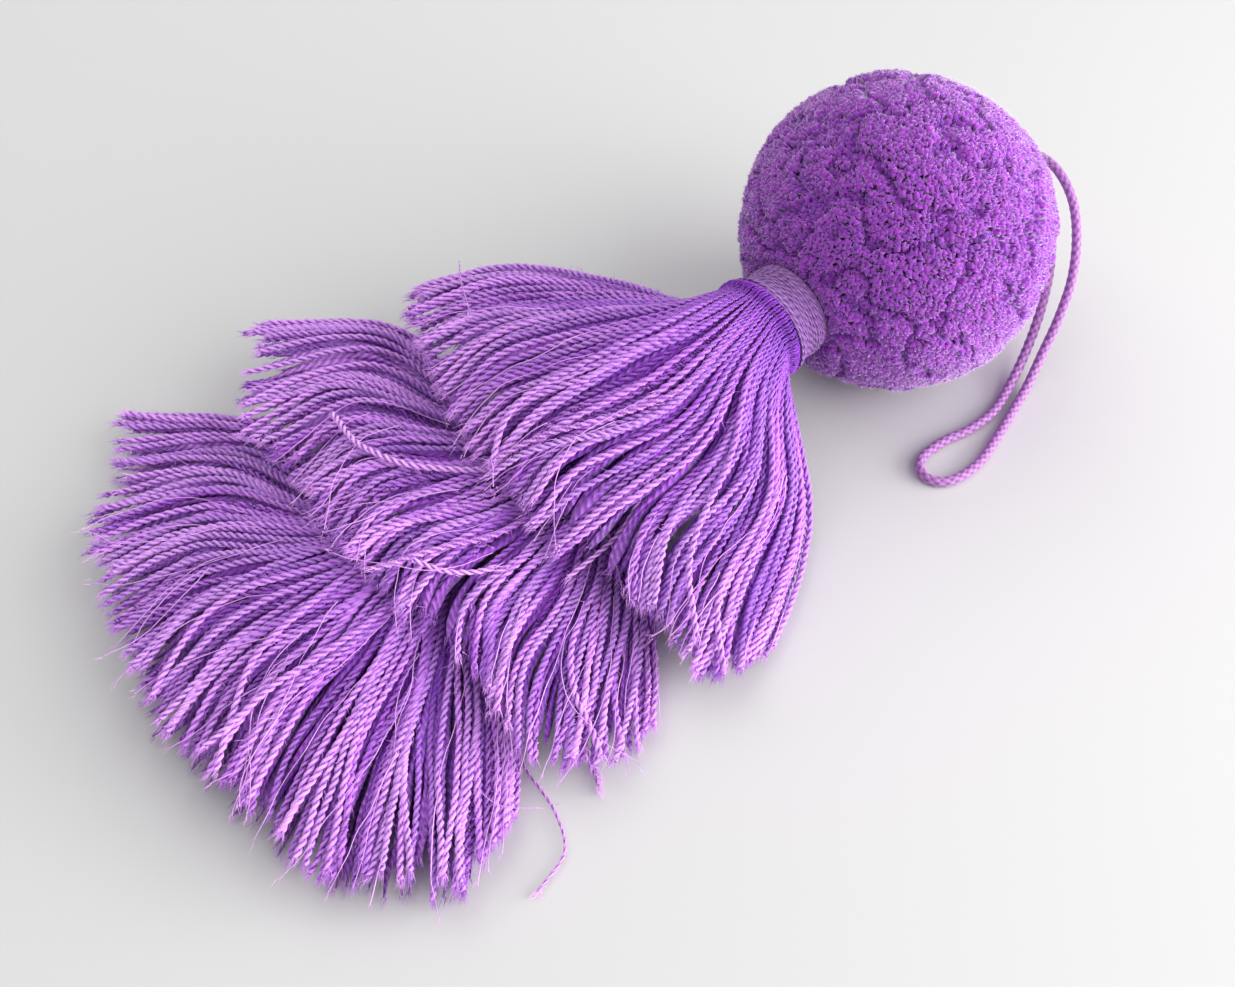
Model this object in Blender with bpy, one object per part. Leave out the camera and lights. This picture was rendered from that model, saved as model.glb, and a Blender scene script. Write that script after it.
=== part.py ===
"""A yarn pompom with a wrapped neck, a three-tier tassel and a hanging loop, lying on a surface.

The origin is the middle of the small flat spot under the ball. The tassel lies towards -X, the hanging
loop leaves the ball at +X and the ball and the yarn ends rest on the plane z = 0.
"""

import math
import random
from collections import namedtuple

import bmesh
import bpy
from mathutils import Vector

MM = 0.001
SEED = 7
GAP = 0.3 * MM

# Pompom
BALL_RADIUS = 40 * MM
BALL_PRESS = 2 * MM
BALL_CORE_RADIUS = 28 * MM
LOCKS_PER_EDGE = 4
LOCK_INSET = 0.55 * MM
LOCK_SCATTER = 0.045
LOCK_LUMP = 0.022
NECK_SEAT = 36.5 * MM
LOOP_SEAT = 39.2 * MM

# Wrapped neck
NECK_PITCH = math.radians(3)
NECK_SIDES = 28
NeckTurn = namedtuple("NeckTurn", "along radius")
NECK_PROFILE = (
    NeckTurn(36.8, 10.6),
    NeckTurn(37.6, 12.3),
    NeckTurn(39.4, 12.9),
    NeckTurn(41.4, 12.4),
    NeckTurn(43.4, 12.9),
    NeckTurn(45.2, 12.3),
    NeckTurn(46.0, 10.6),
)

# Tassel strands
STRAND_THICKNESS = 3.3 * MM
ROOT_THICKNESS = 2.0 * MM
STRAND_GAP_SHARE = 0.2
ROOT_GAP_SHARE = 0.42
OVER_STEPS = 5
UNDER_STEPS = 4
OVER_RING_FROM, OVER_RING_TO = 205.0, -25.0
ROOT_MARGIN = 0.6
TRIM_SHARE = 0.045
PARTING_SPREAD = 0.13
WIDTH_STEPS = 48
NORMAL_STEP = 0.02

# A section is one line across a fan of strands. Reach is measured in mm from the middle of the tier's
# ring. Angles are in degrees from -X, and grow towards -Y. Heights are in mm at five even places
# across the fan, from its +Y edge to its -Y edge.
Section = namedtuple("Section", "reach from_deg to_deg edge_a quarter_a crest quarter_b edge_b")

# A hem row tells how far the cut ends reach at one share of the fan's width, beside the last section.
Hem = namedtuple("Hem", "share reach")

# A parting opens the upper coat of a fan behind one of its strands, by this angle at the hem.
Parting = namedtuple("Parting", "strand degrees")

Tier = namedtuple(
    "Tier",
    "name ring_x ring_y ring_z outer_radius inner_radius front_radius head_length pitch "
    "stalk_radius over_count under_count over under hem under_hem partings",
)

# A slot is one strand's place: its coat, the two shares of the width between which it lies, its steps.
Slot = namedtuple("Slot", "coat first second steps")

TIER_1 = Tier(
    name="tassel_tier_1", ring_x=-51, ring_y=0, ring_z=36, outer_radius=14, inner_radius=10.4,
    front_radius=11.6, head_length=4.6, pitch=3, stalk_radius=0, over_count=36, under_count=16,
    over=(
        Section(20, -80, 80, 33, 46, 51.5, 43, 23),
        Section(38, -84, 71, 27, 42, 48, 35, 6),
        Section(62, -75, 56, 24, 37.5, 41, 28.5, 3),
        Section(78, -63, 50, 22, 33.5, 33.5, 21.5, 3),
    ),
    under=(
        Section(15, -78, 60, 20, 15, 12, 13, 21),
        Section(24, -80, 60, 9, 4, 3.4, 4, 9),
        Section(32, -76, 58, 1.65, 1.65, 1.65, 1.65, 1.65),
    ),
    hem=(
        Hem(0, 1.15), Hem(0.3, 0.97), Hem(0.6, 0.935), Hem(0.78, 0.97), Hem(0.9, 1.07), Hem(1, 0.9),
    ),
    under_hem=(Hem(0, 2.2), Hem(0.35, 1), Hem(1, 1)),
    partings=(Parting(24, 14),),
)

TIER_2 = Tier(
    name="tassel_tier_2", ring_x=-94, ring_y=7, ring_z=13, outer_radius=11.5, inner_radius=8.2,
    front_radius=8, head_length=7, pitch=0, stalk_radius=4, over_count=38, under_count=16,
    over=(
        Section(18, -79, 77, 8, 21, 26, 19, 6),
        Section(38, -84, 70, 8, 24.5, 27.5, 19.5, 3.6),
        Section(60, -86, 64, 13, 25, 27.5, 19, 3),
        Section(80, -70, 60, 18, 22.5, 25.5, 16, 3),
    ),
    under=(
        Section(12, -62, 62, 5, 3.4, 3.2, 3.4, 5),
        Section(20, -62, 60, 1.65, 1.65, 1.65, 1.65, 1.65),
        Section(30, -62, 58, 1.65, 1.65, 1.65, 1.65, 1.65),
    ),
    hem=(
        Hem(0, 1.26), Hem(0.17, 1.08), Hem(0.31, 0.88), Hem(0.55, 0.82), Hem(0.71, 0.845),
        Hem(0.84, 1.045), Hem(0.92, 0.99), Hem(1, 0.83),
    ),
    under_hem=(Hem(0, 1), Hem(1, 1)),
    partings=(Parting(24, 8),),
)

TIER_3 = Tier(
    name="tassel_tier_3", ring_x=-136, ring_y=15, ring_z=11, outer_radius=10.6, inner_radius=7.2,
    front_radius=7.5, head_length=7, pitch=0, stalk_radius=3.6, over_count=40, under_count=26,
    over=(
        Section(16, -79, 79, 7.5, 17.5, 20.5, 17, 7.5),
        Section(34, -84, 76, 6, 17.5, 20.5, 16, 6),
        Section(58, -87, 71, 6, 15.5, 18, 13.5, 6),
        Section(84, -73, 65, 6, 13, 14, 11, 6),
    ),
    under=(
        Section(14, -70, 70, 2.2, 2.2, 2.2, 2.2, 2.2),
        Section(32, -76, 70, 1.65, 1.65, 1.65, 1.65, 1.65),
        Section(58, -80, 68, 1.65, 1.65, 1.65, 1.65, 1.65),
        Section(84, -71, 63, 1.65, 1.65, 1.65, 1.65, 1.65),
    ),
    hem=(
        Hem(0, 1.14), Hem(0.15, 1.0), Hem(0.37, 0.91), Hem(0.62, 0.923), Hem(0.8, 1.04),
        Hem(0.91, 1.06), Hem(1, 0.84),
    ),
    under_hem=(
        Hem(0, 1.12), Hem(0.15, 1.0), Hem(0.37, 0.91), Hem(0.62, 0.923), Hem(0.8, 1.04),
        Hem(0.91, 1.06), Hem(1, 0.86),
    ),
    partings=(Parting(17, 6),),
)

# Hanging loop: its route in mm, from the ball along the outer leg, round the eye and back to the ball
LOOP_DIAMETER = 2.6 * MM
LOOP_SPANS = 2
LOOP_ROUTE = (
    (39.5, 2.2, 38.0),
    (43.6, 2.0, 38.5),
    (47.0, -2.0, 39.4),
    (47.8, -8.5, 40.2),
    (46.4, -15.2, 39.4),
    (43.8, -21.8, 36.0),
    (40.0, -27.4, 29.8),
    (35.2, -31.6, 22.0),
    (29.4, -34.0, 13.6),
    (22.6, -35.8, 6.4),
    (13.6, -38.8, 2.0),
    (3.5, -42.0, 1.4),
    (-6.5, -45.2, 1.4),
    (-15.0, -47.2, 1.4),
    (-22.5, -46.8, 1.4),
    (-26.6, -44.6, 1.4),
    (-27.9, -41.0, 1.4),
    (-26.0, -37.6, 1.4),
    (-22.0, -36.2, 1.4),
    (-15.0, -36.6, 1.4),
    (-7.5, -38.2, 1.4),
    (1.5, -38.2, 1.4),
    (11.5, -35.2, 1.8),
    (21.4, -31.8, 6.2),
    (28.6, -28.8, 14.0),
    (34.4, -25.0, 22.6),
    (39.4, -19.4, 30.0),
    (43.4, -13.4, 34.6),
    (45.0, -7.8, 36.9),
    (43.4, -3.4, 37.9),
    (39.5, -2.2, 38.0),
)

# Finishes: colour, roughness
POMPOM_FINISH = ((0.24, 0.05, 0.42, 1), 0.95)
NECK_FINISH = ((0.28, 0.12, 0.52, 1), 0.8)
TASSEL_FINISH = ((0.36, 0.11, 0.60, 1), 0.85)
LOOP_FINISH = ((0.38, 0.14, 0.55, 1), 0.8)


def clear_scene():
    for item in list(bpy.data.objects):
        bpy.data.objects.remove(item)


def yarn_material(name, finish):
    colour, roughness = finish
    material = bpy.data.materials.new(name)
    material.use_nodes = True
    shader = material.node_tree.nodes["Principled BSDF"]
    shader.inputs["Base Color"].default_value = colour
    shader.inputs["Roughness"].default_value = roughness
    shader.inputs["Metallic"].default_value = 0
    return material


def add_mesh_object(name, bm, material):
    mesh = bpy.data.meshes.new(name)
    bm.to_mesh(mesh)
    bm.free()
    mesh.materials.append(material)
    item = bpy.data.objects.new(name, mesh)
    bpy.context.scene.collection.objects.link(item)
    return item


def neck_axis():
    """The direction in which the neck leaves the ball, dipping a little towards the surface."""
    return Vector((-math.cos(NECK_PITCH), 0, -math.sin(NECK_PITCH)))


def ball_centre():
    return Vector((0, 0, BALL_RADIUS - BALL_PRESS))


def trimmed_radius(direction, radius):
    """How far a lock reaches along a direction before the surface, the neck or the loop stops it."""
    stops = (
        (Vector((0, 0, -1)), BALL_RADIUS - BALL_PRESS),
        (neck_axis(), NECK_SEAT),
        (Vector((1, 0, 0)), LOOP_SEAT),
    )
    for normal, distance in stops:
        facing = direction.dot(normal)
        if facing > 0:
            radius = min(radius, distance / facing)
    return radius


def build_pompom():
    """A round core whose faces each carry one square lock of cut pile."""
    rng = random.Random(SEED)
    bm = bmesh.new()
    bmesh.ops.create_cube(bm, size=2)
    bmesh.ops.subdivide_edges(bm, edges=bm.edges[:], cuts=LOCKS_PER_EDGE - 1, use_grid_fill=True)
    for vert in bm.verts:
        vert.co = Vector([math.tan(part * math.pi / 4) for part in vert.co]).normalized()
    lowest = min(bm.faces, key=lambda face: face.calc_center_median().dot(Vector((0.1, 0.2, 1))))
    turn = lowest.calc_center_median().normalized().rotation_difference(Vector((0, 0, -1)))
    for vert in bm.verts:
        direction = turn @ vert.co
        if abs(direction.z + 1) > 0.1:
            direction += Vector([rng.uniform(-LOCK_SCATTER, LOCK_SCATTER) for _ in range(3)])
        vert.co = direction.normalized() * BALL_CORE_RADIUS
    roots = bm.faces[:]
    bmesh.ops.inset_individual(bm, faces=roots, thickness=LOCK_INSET, use_even_offset=True)
    locks = bmesh.ops.extrude_discrete_faces(bm, faces=roots)["faces"]
    poked = bmesh.ops.poke(bm, faces=locks)
    ends = {vert for face in poked["faces"] for vert in face.verts}
    centre = ball_centre()
    for vert in sorted(bm.verts, key=lambda v: tuple(v.co)):
        if vert in ends:
            direction = vert.co.normalized()
            lumpy = BALL_RADIUS * (1 - rng.uniform(0, LOCK_LUMP))
            vert.co = direction * trimmed_radius(direction, lumpy)
        vert.co += centre
    return add_mesh_object("pompom", bm, yarn_material("violet cut pile", POMPOM_FINISH))


def build_neck_wrap():
    """The collar of yarn wound round the neck, one turned solid with two soft ridges."""
    along = neck_axis()
    side = Vector((0, 1, 0))
    up = along.cross(side)
    bm = bmesh.new()
    rings = []
    for turn in NECK_PROFILE:
        middle = ball_centre() + along * turn.along * MM
        ring = []
        for step in range(NECK_SIDES):
            angle = 2 * math.pi * step / NECK_SIDES
            offset = (side * math.cos(angle) + up * math.sin(angle)) * turn.radius * MM
            ring.append(bm.verts.new(middle + offset))
        rings.append(ring)
    join_rings(bm, rings)
    item = add_mesh_object("neck_wrap", bm, yarn_material("lavender wrapping yarn", NECK_FINISH))
    item.data.shade_smooth()
    return item


def join_rings(bm, rings):
    """Skins rings of equal length in order, closes both ends and turns every face outwards."""
    for near, far in zip(rings, rings[1:]):
        for step in range(len(near)):
            after = (step + 1) % len(near)
            bm.faces.new((near[step], near[after], far[after], far[step]))
    bm.faces.new(rings[0])
    bm.faces.new(rings[-1])
    bmesh.ops.recalc_face_normals(bm, faces=bm.faces)


def smooth_point(points, place):
    """The point at a place, 0 to 1, on the smooth curve through points that share it out evenly."""
    last = len(points) - 1
    step = min(int(place * last), last - 1)
    part = place * last - step
    start, end = points[step], points[step + 1]
    before = points[step - 1] if step > 0 else start * 2 - end
    beyond = points[step + 2] if step + 2 <= last else end * 2 - start
    leave, arrive = (end - before) / 2, (beyond - start) / 2
    square, cube = part * part, part * part * part
    return (
        start * (2 * cube - 3 * square + 1) + leave * (cube - 2 * square + part)
        + end * (3 * square - 2 * cube) + arrive * (cube - square)
    )


def hem_reach(hem, share):
    """The reach of the cut ends beside the last section, between the rows of a hem table."""
    for row, after in zip(hem, hem[1:]):
        if share <= after.share:
            part = (share - row.share) / (after.share - row.share)
            ease = part * part * (3 - 2 * part)
            return row.reach + (after.reach - row.reach) * ease
    return hem[-1].reach


def ring_frame(tier):
    """The middle of a tier's ring, and the directions back, to the -Y side and up in its plane."""
    pitch = math.radians(tier.pitch)
    middle = Vector((tier.ring_x, tier.ring_y, tier.ring_z)) * MM
    back = Vector((-math.cos(pitch), 0, -math.sin(pitch)))
    side = Vector((0, -1, 0))
    return middle, back, side, back.cross(side)


def ring_point(tier, degrees, radius, ahead=0):
    """A place on the tier's head, at an angle from its -Y side and a radius in mm."""
    middle, back, side, up = ring_frame(tier)
    angle = math.radians(degrees)
    return middle - back * ahead * MM + (side * math.cos(angle) + up * math.sin(angle)) * radius * MM


def strand_thickness(place):
    """Strands are packed thin at their roots and swell to their full thickness half way along."""
    return ROOT_THICKNESS + (STRAND_THICKNESS - ROOT_THICKNESS) * min(place * 2, 1)


def trimmed_shares(slot, place):
    """The shares of the width between which a strand lies, less its half of the gaps beside it."""
    gap = ROOT_GAP_SHARE + (STRAND_GAP_SHARE - ROOT_GAP_SHARE) * place
    trim = (slot.second - slot.first) * gap / 2
    return slot.first + trim, slot.second - trim


class Coat:
    """One layer of strands of a tier: the smooth surface on which they lie side by side."""

    def __init__(self, tier, sections, hem, partings, ring_from, ring_to):
        self.tier = tier
        self.sections = sections
        self.hem = hem
        self.partings = partings
        self.ring_from = ring_from
        self.ring_to = ring_to
        self.lengths = [self.section_lengths(section) for section in sections]
        self.lines = {}

    def ring_degrees(self, share):
        return self.ring_from + (self.ring_to - self.ring_from) * share

    def parting_shift(self, share):
        """How many degrees a strand is pushed aside at the hem by the partings of the fan."""
        shift = 0
        for parting in self.partings:
            away = share - parting.strand / self.tier.over_count
            shift += math.copysign(parting.degrees / 2 * math.exp(-abs(away) / PARTING_SPREAD), away)
        return shift

    def section_point(self, section, share, shift=0):
        """A place on a section at a share of its width, turned aside by shift degrees."""
        weight = (self.sections.index(section) + 1) / len(self.sections)
        heights = [Vector((height, 0, 0)) for height in section[3:]]
        degrees = section.from_deg + (section.to_deg - section.from_deg) * share
        angle = math.radians(degrees + shift * weight * weight)
        reach = section.reach * (1 + (hem_reach(self.hem, share) - 1) * weight)
        return Vector((
            (self.tier.ring_x - reach * math.cos(angle)) * MM,
            (self.tier.ring_y - reach * math.sin(angle)) * MM,
            smooth_point(heights, share).x * MM,
        ))

    def section_lengths(self, section):
        """The length along a section up to each of its even steps."""
        points = [self.section_point(section, step / WIDTH_STEPS) for step in range(WIDTH_STEPS + 1)]
        lengths = [0]
        for near, far in zip(points, points[1:]):
            lengths.append(lengths[-1] + (far - near).length)
        return lengths

    def even_share(self, lengths, share):
        """The share of a section's width that lies at this share of its length."""
        wanted = min(max(share, 0), 1) * lengths[-1]
        for step in range(WIDTH_STEPS):
            if wanted <= lengths[step + 1]:
                part = (wanted - lengths[step]) / (lengths[step + 1] - lengths[step])
                return (step + part) / WIDTH_STEPS
        return 1

    def line(self, share):
        """The points, ring to hem, of the surface's line at this share of its width."""
        if share not in self.lines:
            radius = (self.tier.outer_radius + self.tier.inner_radius) / 2
            points = [ring_point(self.tier, self.ring_degrees(share), radius)]
            for section, lengths in zip(self.sections, self.lengths):
                even = self.even_share(lengths, share)
                points.append(self.section_point(section, even, self.parting_shift(share)))
            self.lines[share] = points
        return self.lines[share]

    def point(self, place, share):
        spot = smooth_point(self.line(share), place)
        spot.z = max(spot.z, strand_thickness(place) / 2)
        return spot

    def normal(self, place, low, high):
        early, late = max(place - NORMAL_STEP, 0), min(place + NORMAL_STEP, 1)
        along = self.point(late, low) - self.point(early, low)
        along += self.point(late, high) - self.point(early, high)
        return along.cross(self.point(place, high) - self.point(place, low)).normalized()

    def station(self, place, slot):
        """The four corners of a strand at a place along it: outer pair, then inner pair."""
        low, high = trimmed_shares(slot, place)
        half = self.normal(place, low, high) * strand_thickness(place) / 2
        first, second = self.point(place, low), self.point(place, high)
        return [first + half, second + half, second - half, first - half]


def strand_slots(tier):
    """Every strand of a tier in order round its ring: its coat, its shares and its steps."""
    over = Coat(tier, tier.over, tier.hem, tier.partings, OVER_RING_FROM, OVER_RING_TO)
    under = Coat(tier, tier.under, tier.under_hem, (), OVER_RING_FROM, OVER_RING_TO + 360)
    slots = []
    for order in range(tier.over_count):
        first, second = order / tier.over_count, (order + 1) / tier.over_count
        slots.append(Slot(over, first, second, OVER_STEPS))
    for order in range(tier.under_count):
        first, second = 1 - order / tier.under_count, 1 - (order + 1) / tier.under_count
        slots.append(Slot(under, first, second, UNDER_STEPS))
    return slots


def build_tier(tier, stalk_end, material):
    """A tassel's head and its strands, which stand apart beyond their roots on the head's back."""
    rng = random.Random(SEED + len(tier.name) + tier.over_count)
    slots = strand_slots(tier)
    edges = [slot.coat.ring_degrees(slot.first) for slot in slots]
    bm = bmesh.new()
    rings = head_rings(bm, tier, edges, stalk_end)
    outer, inner = rings[-2], rings[-1]
    for near, far in zip(rings[:-2], rings[1:-1]):
        for step in range(len(edges)):
            after = (step + 1) % len(edges)
            bm.faces.new((near[step], near[after], far[after], far[step]))
    bm.faces.new(rings[0])
    bm.faces.new(inner)
    for step, slot in enumerate(slots):
        after = (step + 1) % len(slots)
        add_strand(bm, tier, slot, (outer[step], outer[after], inner[after], inner[step]), rng)
    bmesh.ops.recalc_face_normals(bm, faces=bm.faces)
    return add_mesh_object(tier.name, bm, material)


def head_rings(bm, tier, edges, stalk_end):
    """The rings of the head from its front, or from its stalk's far end, to the inner ring."""
    profile = [
        (tier.head_length, tier.front_radius),
        (tier.head_length * 0.45, (tier.front_radius + tier.outer_radius) / 2 + 0.4),
        (0, tier.outer_radius),
        (0, tier.inner_radius),
    ]
    rings = []
    if stalk_end is not None:
        spread = [ring_point(tier, degrees, tier.stalk_radius) for degrees in edges]
        middle = ring_frame(tier)[0]
        rings.append([bm.verts.new(stalk_end + spot - middle) for spot in spread])
        profile.insert(0, (tier.head_length + 1, tier.stalk_radius))
    for ahead, radius in profile:
        rings.append([bm.verts.new(ring_point(tier, degrees, radius, ahead)) for degrees in edges])
    return rings


def add_strand(bm, tier, slot, corners, rng):
    """Insets one field of the ring and carries it out to the hem, cut a little unevenly."""
    coat = slot.coat
    low, high = trimmed_shares(slot, 0)
    outer, inner = tier.outer_radius - ROOT_MARGIN, tier.inner_radius + ROOT_MARGIN
    root = ((low, outer), (high, outer), (high, inner), (low, inner))
    near = [bm.verts.new(ring_point(tier, coat.ring_degrees(share), radius)) for share, radius in root]
    join_squares(bm, corners, near)
    for step in range(1, slot.steps + 1):
        place = step / slot.steps
        if step == slot.steps:
            place -= rng.uniform(0, TRIM_SHARE)
        far = [bm.verts.new(spot) for spot in coat.station(place, slot)]
        join_stations(bm, near, far)
        near = far
    bm.faces.new(near)


def join_squares(bm, near, far):
    for corner in range(4):
        after = (corner + 1) % 4
        bm.faces.new((near[corner], near[after], far[after], far[corner]))


def join_stations(bm, near, far):
    """Skins a length of a strand. Both of its sides fold alike, so that neighbours stay apart."""
    bm.faces.new((near[0], near[1], far[1], far[0]))
    bm.faces.new((near[1], near[2], far[2]))
    bm.faces.new((near[1], far[2], far[1]))
    bm.faces.new((near[2], near[3], far[3], far[2]))
    bm.faces.new((near[3], near[0], far[3]))
    bm.faces.new((near[0], far[0], far[3]))


def stalk_end_behind(upper):
    """Where a lower tier's stalk stops, just behind the head of the tier above."""
    middle, back, _, _ = ring_frame(upper)
    return middle + back * GAP


def build_tassel():
    material = yarn_material("orchid tassel yarn", TASSEL_FINISH)
    build_tier(TIER_1, None, material)
    build_tier(TIER_2, stalk_end_behind(TIER_1), material)
    build_tier(TIER_3, stalk_end_behind(TIER_2), material)


def build_hanging_loop():
    """A limp braided cord, one open curve from the ball round the eye and back to the ball."""
    route = [Vector(point) * MM for point in LOOP_ROUTE]
    count = (len(route) - 1) * LOOP_SPANS
    curve = bpy.data.curves.new("hanging_loop", "CURVE")
    curve.dimensions = "3D"
    curve.bevel_depth = LOOP_DIAMETER / 2
    curve.bevel_resolution = 2
    curve.use_fill_caps = True
    spline = curve.splines.new("POLY")
    spline.points.add(count)
    for order, point in enumerate(spline.points):
        point.co = smooth_point(route, order / count).to_4d()
    curve.materials.append(yarn_material("mauve braided cord", LOOP_FINISH))
    item = bpy.data.objects.new("hanging_loop", curve)
    bpy.context.scene.collection.objects.link(item)
    return item


def main():
    clear_scene()
    build_pompom()
    build_neck_wrap()
    build_tassel()
    build_hanging_loop()


main()
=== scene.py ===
"""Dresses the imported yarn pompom: its cut pile, wrapped neck, three tiers of yarn and braided loop."""

import math
from collections import namedtuple

import bmesh
import bpy
import numpy as np
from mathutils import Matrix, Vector


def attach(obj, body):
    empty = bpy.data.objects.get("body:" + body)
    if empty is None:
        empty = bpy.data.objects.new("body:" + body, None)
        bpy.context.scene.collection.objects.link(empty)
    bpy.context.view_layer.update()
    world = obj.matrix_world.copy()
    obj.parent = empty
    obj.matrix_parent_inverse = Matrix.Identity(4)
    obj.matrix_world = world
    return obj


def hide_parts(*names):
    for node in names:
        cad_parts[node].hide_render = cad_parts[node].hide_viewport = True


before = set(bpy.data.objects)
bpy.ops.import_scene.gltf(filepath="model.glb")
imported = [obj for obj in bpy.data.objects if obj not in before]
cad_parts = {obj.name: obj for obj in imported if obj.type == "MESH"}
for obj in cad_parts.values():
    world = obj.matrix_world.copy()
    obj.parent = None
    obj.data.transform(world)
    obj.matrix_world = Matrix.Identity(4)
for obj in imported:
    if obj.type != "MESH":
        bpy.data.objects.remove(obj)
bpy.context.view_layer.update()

bl_info = {
    "name": "Yarn pompom dresser",
    "version": (1, 0, 0),
    "blender": (4, 5, 0),
    "location": "3D View > Sidebar > Pompom",
    "description": "Builds the pile, neck, tassel yarns and hanging loop of a yarn pompom round its frame",
    "category": "Object",
}

MM = 0.001
SEED = 7
HAIR_SEED = SEED + 20

# Where the photographer stood
CAMERA_PLACE = (-0.27955, -0.20623, 0.34174)
CAMERA_TARGET = (-0.0989, -0.0056, 0.02)
SENSOR_WIDTH = 36
CAMERA_LENS = 52.47

# Daylight: the share is that of the window's power
Lamp = namedtuple("Lamp", "name place size share")
LAMPS = (
    Lamp("window", (0.46, -1.04, 0.54), 1.6, 1),
    Lamp("bounce", (0.34, -0.52, 0.07), 0.5, 0.27),
    Lamp("ceiling", (-0.1, 0.5, 0.9), 1.0, 0.15),
)
SKY_COLOUR = (0.95, 0.97, 1.0, 1)
FLOOR_COLOUR = (0.62, 0.61, 0.6, 1)

# Ball, as in the solid source
BALL_CENTRE = (0, 0, 38 * MM)
BALL_RADIUS = 40 * MM
NECK_SEAT = 36.5 * MM
LOOP_SEAT = 39.2 * MM
NECK_PITCH = math.radians(3)
NECK_DIRECTION = (-math.cos(NECK_PITCH), 0, -math.sin(NECK_PITCH))
PILE_STOPS = (((0, 0, -1), BALL_CENTRE[2]), (NECK_DIRECTION, NECK_SEAT), ((1, 0, 0), LOOP_SEAT))

# Pile: how deep its dense core starts, its loose fibres, and how its tufts and locks are sown
CORE_DEPTH = 3.6 * MM
FUZZ_WIDTH = 0.11 * MM
FUZZ_LENGTH = 4.6 * MM
MOST_TUFTS = 6e6
TUFTS_PER_METRE = 520.0
TUFT_CROWN = 0.9 * MM
LOCKS_PER_METRE = 55.0
LOCK_SWELL = 2.4 * MM
CLEFT_WIDTH = 0.045
PILE_SHEEN = (0.92, 0.75, 1.0)

# Neck: turned body under the wrapping, in mm along the neck and out from it
NeckTurn = namedtuple("NeckTurn", "along radius")
NECK_BODY = (
    NeckTurn(36.2, 9.8), NeckTurn(37.2, 11.1), NeckTurn(39.4, 11.6), NeckTurn(41.6, 11.3),
    NeckTurn(43.8, 11.5), NeckTurn(45.3, 12.0), NeckTurn(46.4, 12.1), NeckTurn(47.0, 10.6),
)
NECK_SIDES = 32

# The wrapping yarn lies a little outside the body, and its last turns over the ones before
WRAP_SPAN = (36.7, 46.7)
WRAP_STEPS = 40
WRAP_LIFT = 0.3
LAST_TURNS = 2.2
LAST_TURNS_LIFT = 0.55

# Tassel tiers, as in the solid source. Reach and heights are in mm, angles in degrees from -X
# towards -Y, and heights stand at five even places from the +Y edge of a fan to its -Y edge.
Section = namedtuple("Section", "reach from_deg to_deg edge_a quarter_a crest quarter_b edge_b")
Hem = namedtuple("Hem", "share reach")
Parting = namedtuple("Parting", "share degrees")
Tier = namedtuple(
    "Tier",
    "name ring_x ring_y ring_z outer_radius inner_radius front_radius head_length pitch "
    "over under hem under_hem parting",
)
RING_OVER = (205.0, -25.0)
RING_UNDER = (205.0, 335.0)
PARTING_SPREAD = 0.13
LYING_HEIGHT = 1.65


def lying(reach, from_deg, to_deg, height=LYING_HEIGHT):
    """A section at one height from edge to edge, as a rule that of yarns on the surface."""
    return Section(reach, from_deg, to_deg, height, height, height, height, height)


# The cut ends of the third tier between its two edges, above and below
THIRD_HEM = (Hem(0.15, 1.0), Hem(0.37, 0.91), Hem(0.62, 0.923), Hem(0.8, 1.04), Hem(0.91, 1.06))

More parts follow.
